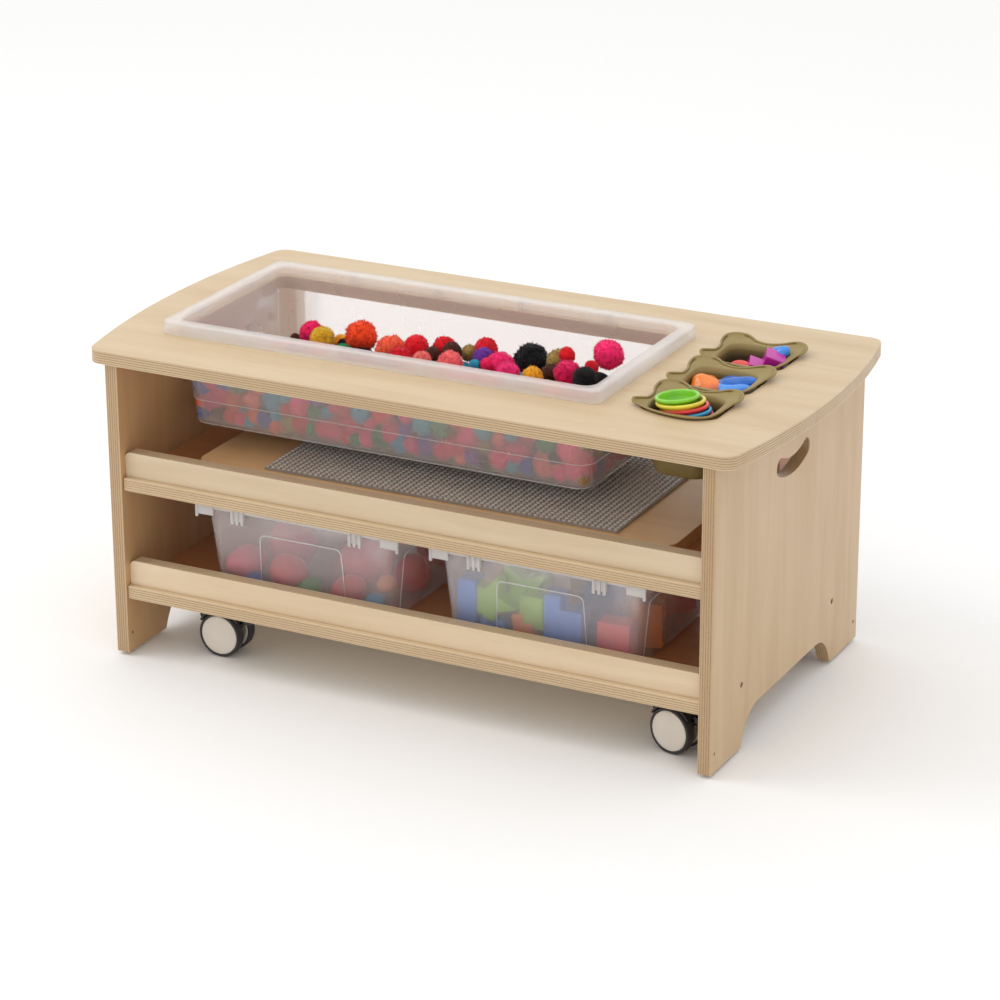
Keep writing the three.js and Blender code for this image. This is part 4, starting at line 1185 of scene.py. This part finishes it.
def fill_tub():
    low, _, size, centre = size_of("tub")
    foot = TUB_RIM + TUB_DRAFT + TUB_WALL
    floor = low.z + TUB_WALL + 0.5 * MM
    rng = random.Random(7)

    def walls(z):
        share = np.clip((z - low.z) / size.z, 0, 1)[:, None]
        inset = foot - TUB_DRAFT * share + 0.8 * MM
        half = np.array([[size.x / 2, size.y / 2]]) - inset
        middle = np.array([[centre.x, centre.y]])
        return middle - half, middle + half

    tints, radii, places = [], [], []
    for colour, radius, x, y, z in TOP_POMPOMS:
        tints.append(POMPOM_COLOURS[colour])
        radii.append(radius * MM)
        places.append((centre.x + x * MM, centre.y + y * MM, low.z + z * MM))
    for colour, radius, x, z in FRONT_POMPOMS:
        wall = walls(np.array([low.z + z * MM]))[0][0, 1]
        tints.append(POMPOM_COLOURS[colour])
        radii.append(radius * MM)
        places.append((centre.x + x * MM, wall + radius * MM, low.z + z * MM))
    names, weights = zip(*POMPOM_MIX.items())
    for radius, count in FILLERS:
        for _ in range(count):
            tints.append(POMPOM_COLOURS[rng.choices(names, weights)[0]])
            radii.append(radius * rng.uniform(0.88, 1.1) * MM)
            places.append((centre.x + rng.uniform(-0.28, 0.28), centre.y + rng.uniform(-0.13, 0.12),
                           floor + rng.uniform(0.005, 0.09)))
    fixed = np.arange(len(TOP_POMPOMS) + len(FRONT_POMPOMS))
    radii = np.array(radii)
    places = settle(np.array(places), radii, fixed, walls, floor)
    balls = list(zip(places, radii, tints))
    heroes, front = balls[:len(TOP_POMPOMS)], balls[len(TOP_POMPOMS):len(fixed)]
    fillers = balls[len(fixed):]
    large, medium = FILLERS[0][1], FILLERS[0][1] + FILLERS[1][1]
    fine = [with_tufts(pompom_shape(4, k), 1050, k) for k in range(4)]
    plain = [pompom_shape(4, 10 + k) for k in range(4)]
    small = [pompom_shape(3, 20 + k) for k in range(3)]
    pompom_piece("pompoms_top", heroes, fine, 1)
    pompom_piece("pompoms_front", front, plain, 5)
    pompom_piece("pompoms_large", fillers[:large], plain, 2)
    pompom_piece("pompoms_medium", fillers[large:medium], small, 3)
    pompom_piece("pompoms_small", fillers[medium:], small, 4)


# ---- stage --------------------------------------------------------------------------------------
def build_camera():
    azimuth, elevation, roll = (math.radians(a) for a in CAMERA_TURN)
    back = Vector((math.sin(azimuth) * math.cos(elevation),
                   -math.cos(azimuth) * math.cos(elevation), math.sin(elevation)))
    right = Vector((0, 0, 1)).cross(back).normalized()
    up = back.cross(right)
    right, up = (math.cos(roll) * right + math.sin(roll) * up,
                 -math.sin(roll) * right + math.cos(roll) * up)
    data = bpy.data.cameras.new("camera")
    data.sensor_width = SENSOR
    data.lens = FOCAL_LENGTH
    data.clip_end = 100
    camera = link(bpy.data.objects.new("camera", data))
    turn = Matrix((right, up, back)).transposed().to_4x4()
    camera.matrix_world = Matrix.Translation(CAMERA_PLACE) @ turn
    bpy.context.scene.camera = camera


def area_light(name, place, aim, size, power, colour=(1, 1, 1)):
    data = bpy.data.lights.new(name, "AREA")
    data.shape = "SQUARE"
    data.size = size
    data.energy = power
    data.color = colour
    lamp = link(bpy.data.objects.new(name, data))
    place, aim = Vector(place), Vector(aim)
    turn = (place - aim).to_track_quat("Z", "Y").to_matrix().to_4x4()
    lamp.matrix_world = Matrix.Translation(place) @ turn


def build_stage():
    scene = bpy.context.scene
    scene.view_settings.view_transform = "Standard"
    world = bpy.data.worlds.new("studio")
    scene.world = world
    world.use_nodes = True
    background = world.node_tree.nodes["Background"]
    background.inputs["Color"].default_value = rgb(1.0, 1.0, 1.0)
    background.inputs["Strength"].default_value = WORLD_LIGHT
    area_light("key", (-2.3, -1.0, 3.0), (0, 0, 0.25), 1.7, 26, (1.0, 0.985, 0.955))
    area_light("overhead", (0.3, 0.3, 3.2), (0, 0, 0.2), 2.4, 8)

    tree = Tree("floor_paper")
    speck = tree.noise(tree.place(), 40.0, 3.0)
    floor_colour = tree.mix(speck, rgb(0.965, 0.962, 0.958), rgb(0.945, 0.942, 0.938))
    material = tree.set(colour=floor_colour, roughness=0.9)
    reach = 14.0
    corners = [(-reach, -reach, 0), (reach, -reach, 0), (reach, reach, 0), (-reach, reach, 0)]
    floor = mesh_object("floor", corners, [(0, 1, 2, 3)], material, smooth=False)


build_camera()
build_stage()
dress_boards()
build_tub()
for bin_side in ("left", "right"):
    build_bin(bin_side)
    build_lid(bin_side)
    build_plate(bin_side)
for cup_place in ("front", "middle", "rear"):
    build_cup(cup_place)
for caster_name in ("front_left", "front_right", "rear_left", "rear_right"):
    dress_caster(caster_name)
fill_cups()
fill_bins()
fill_tub()
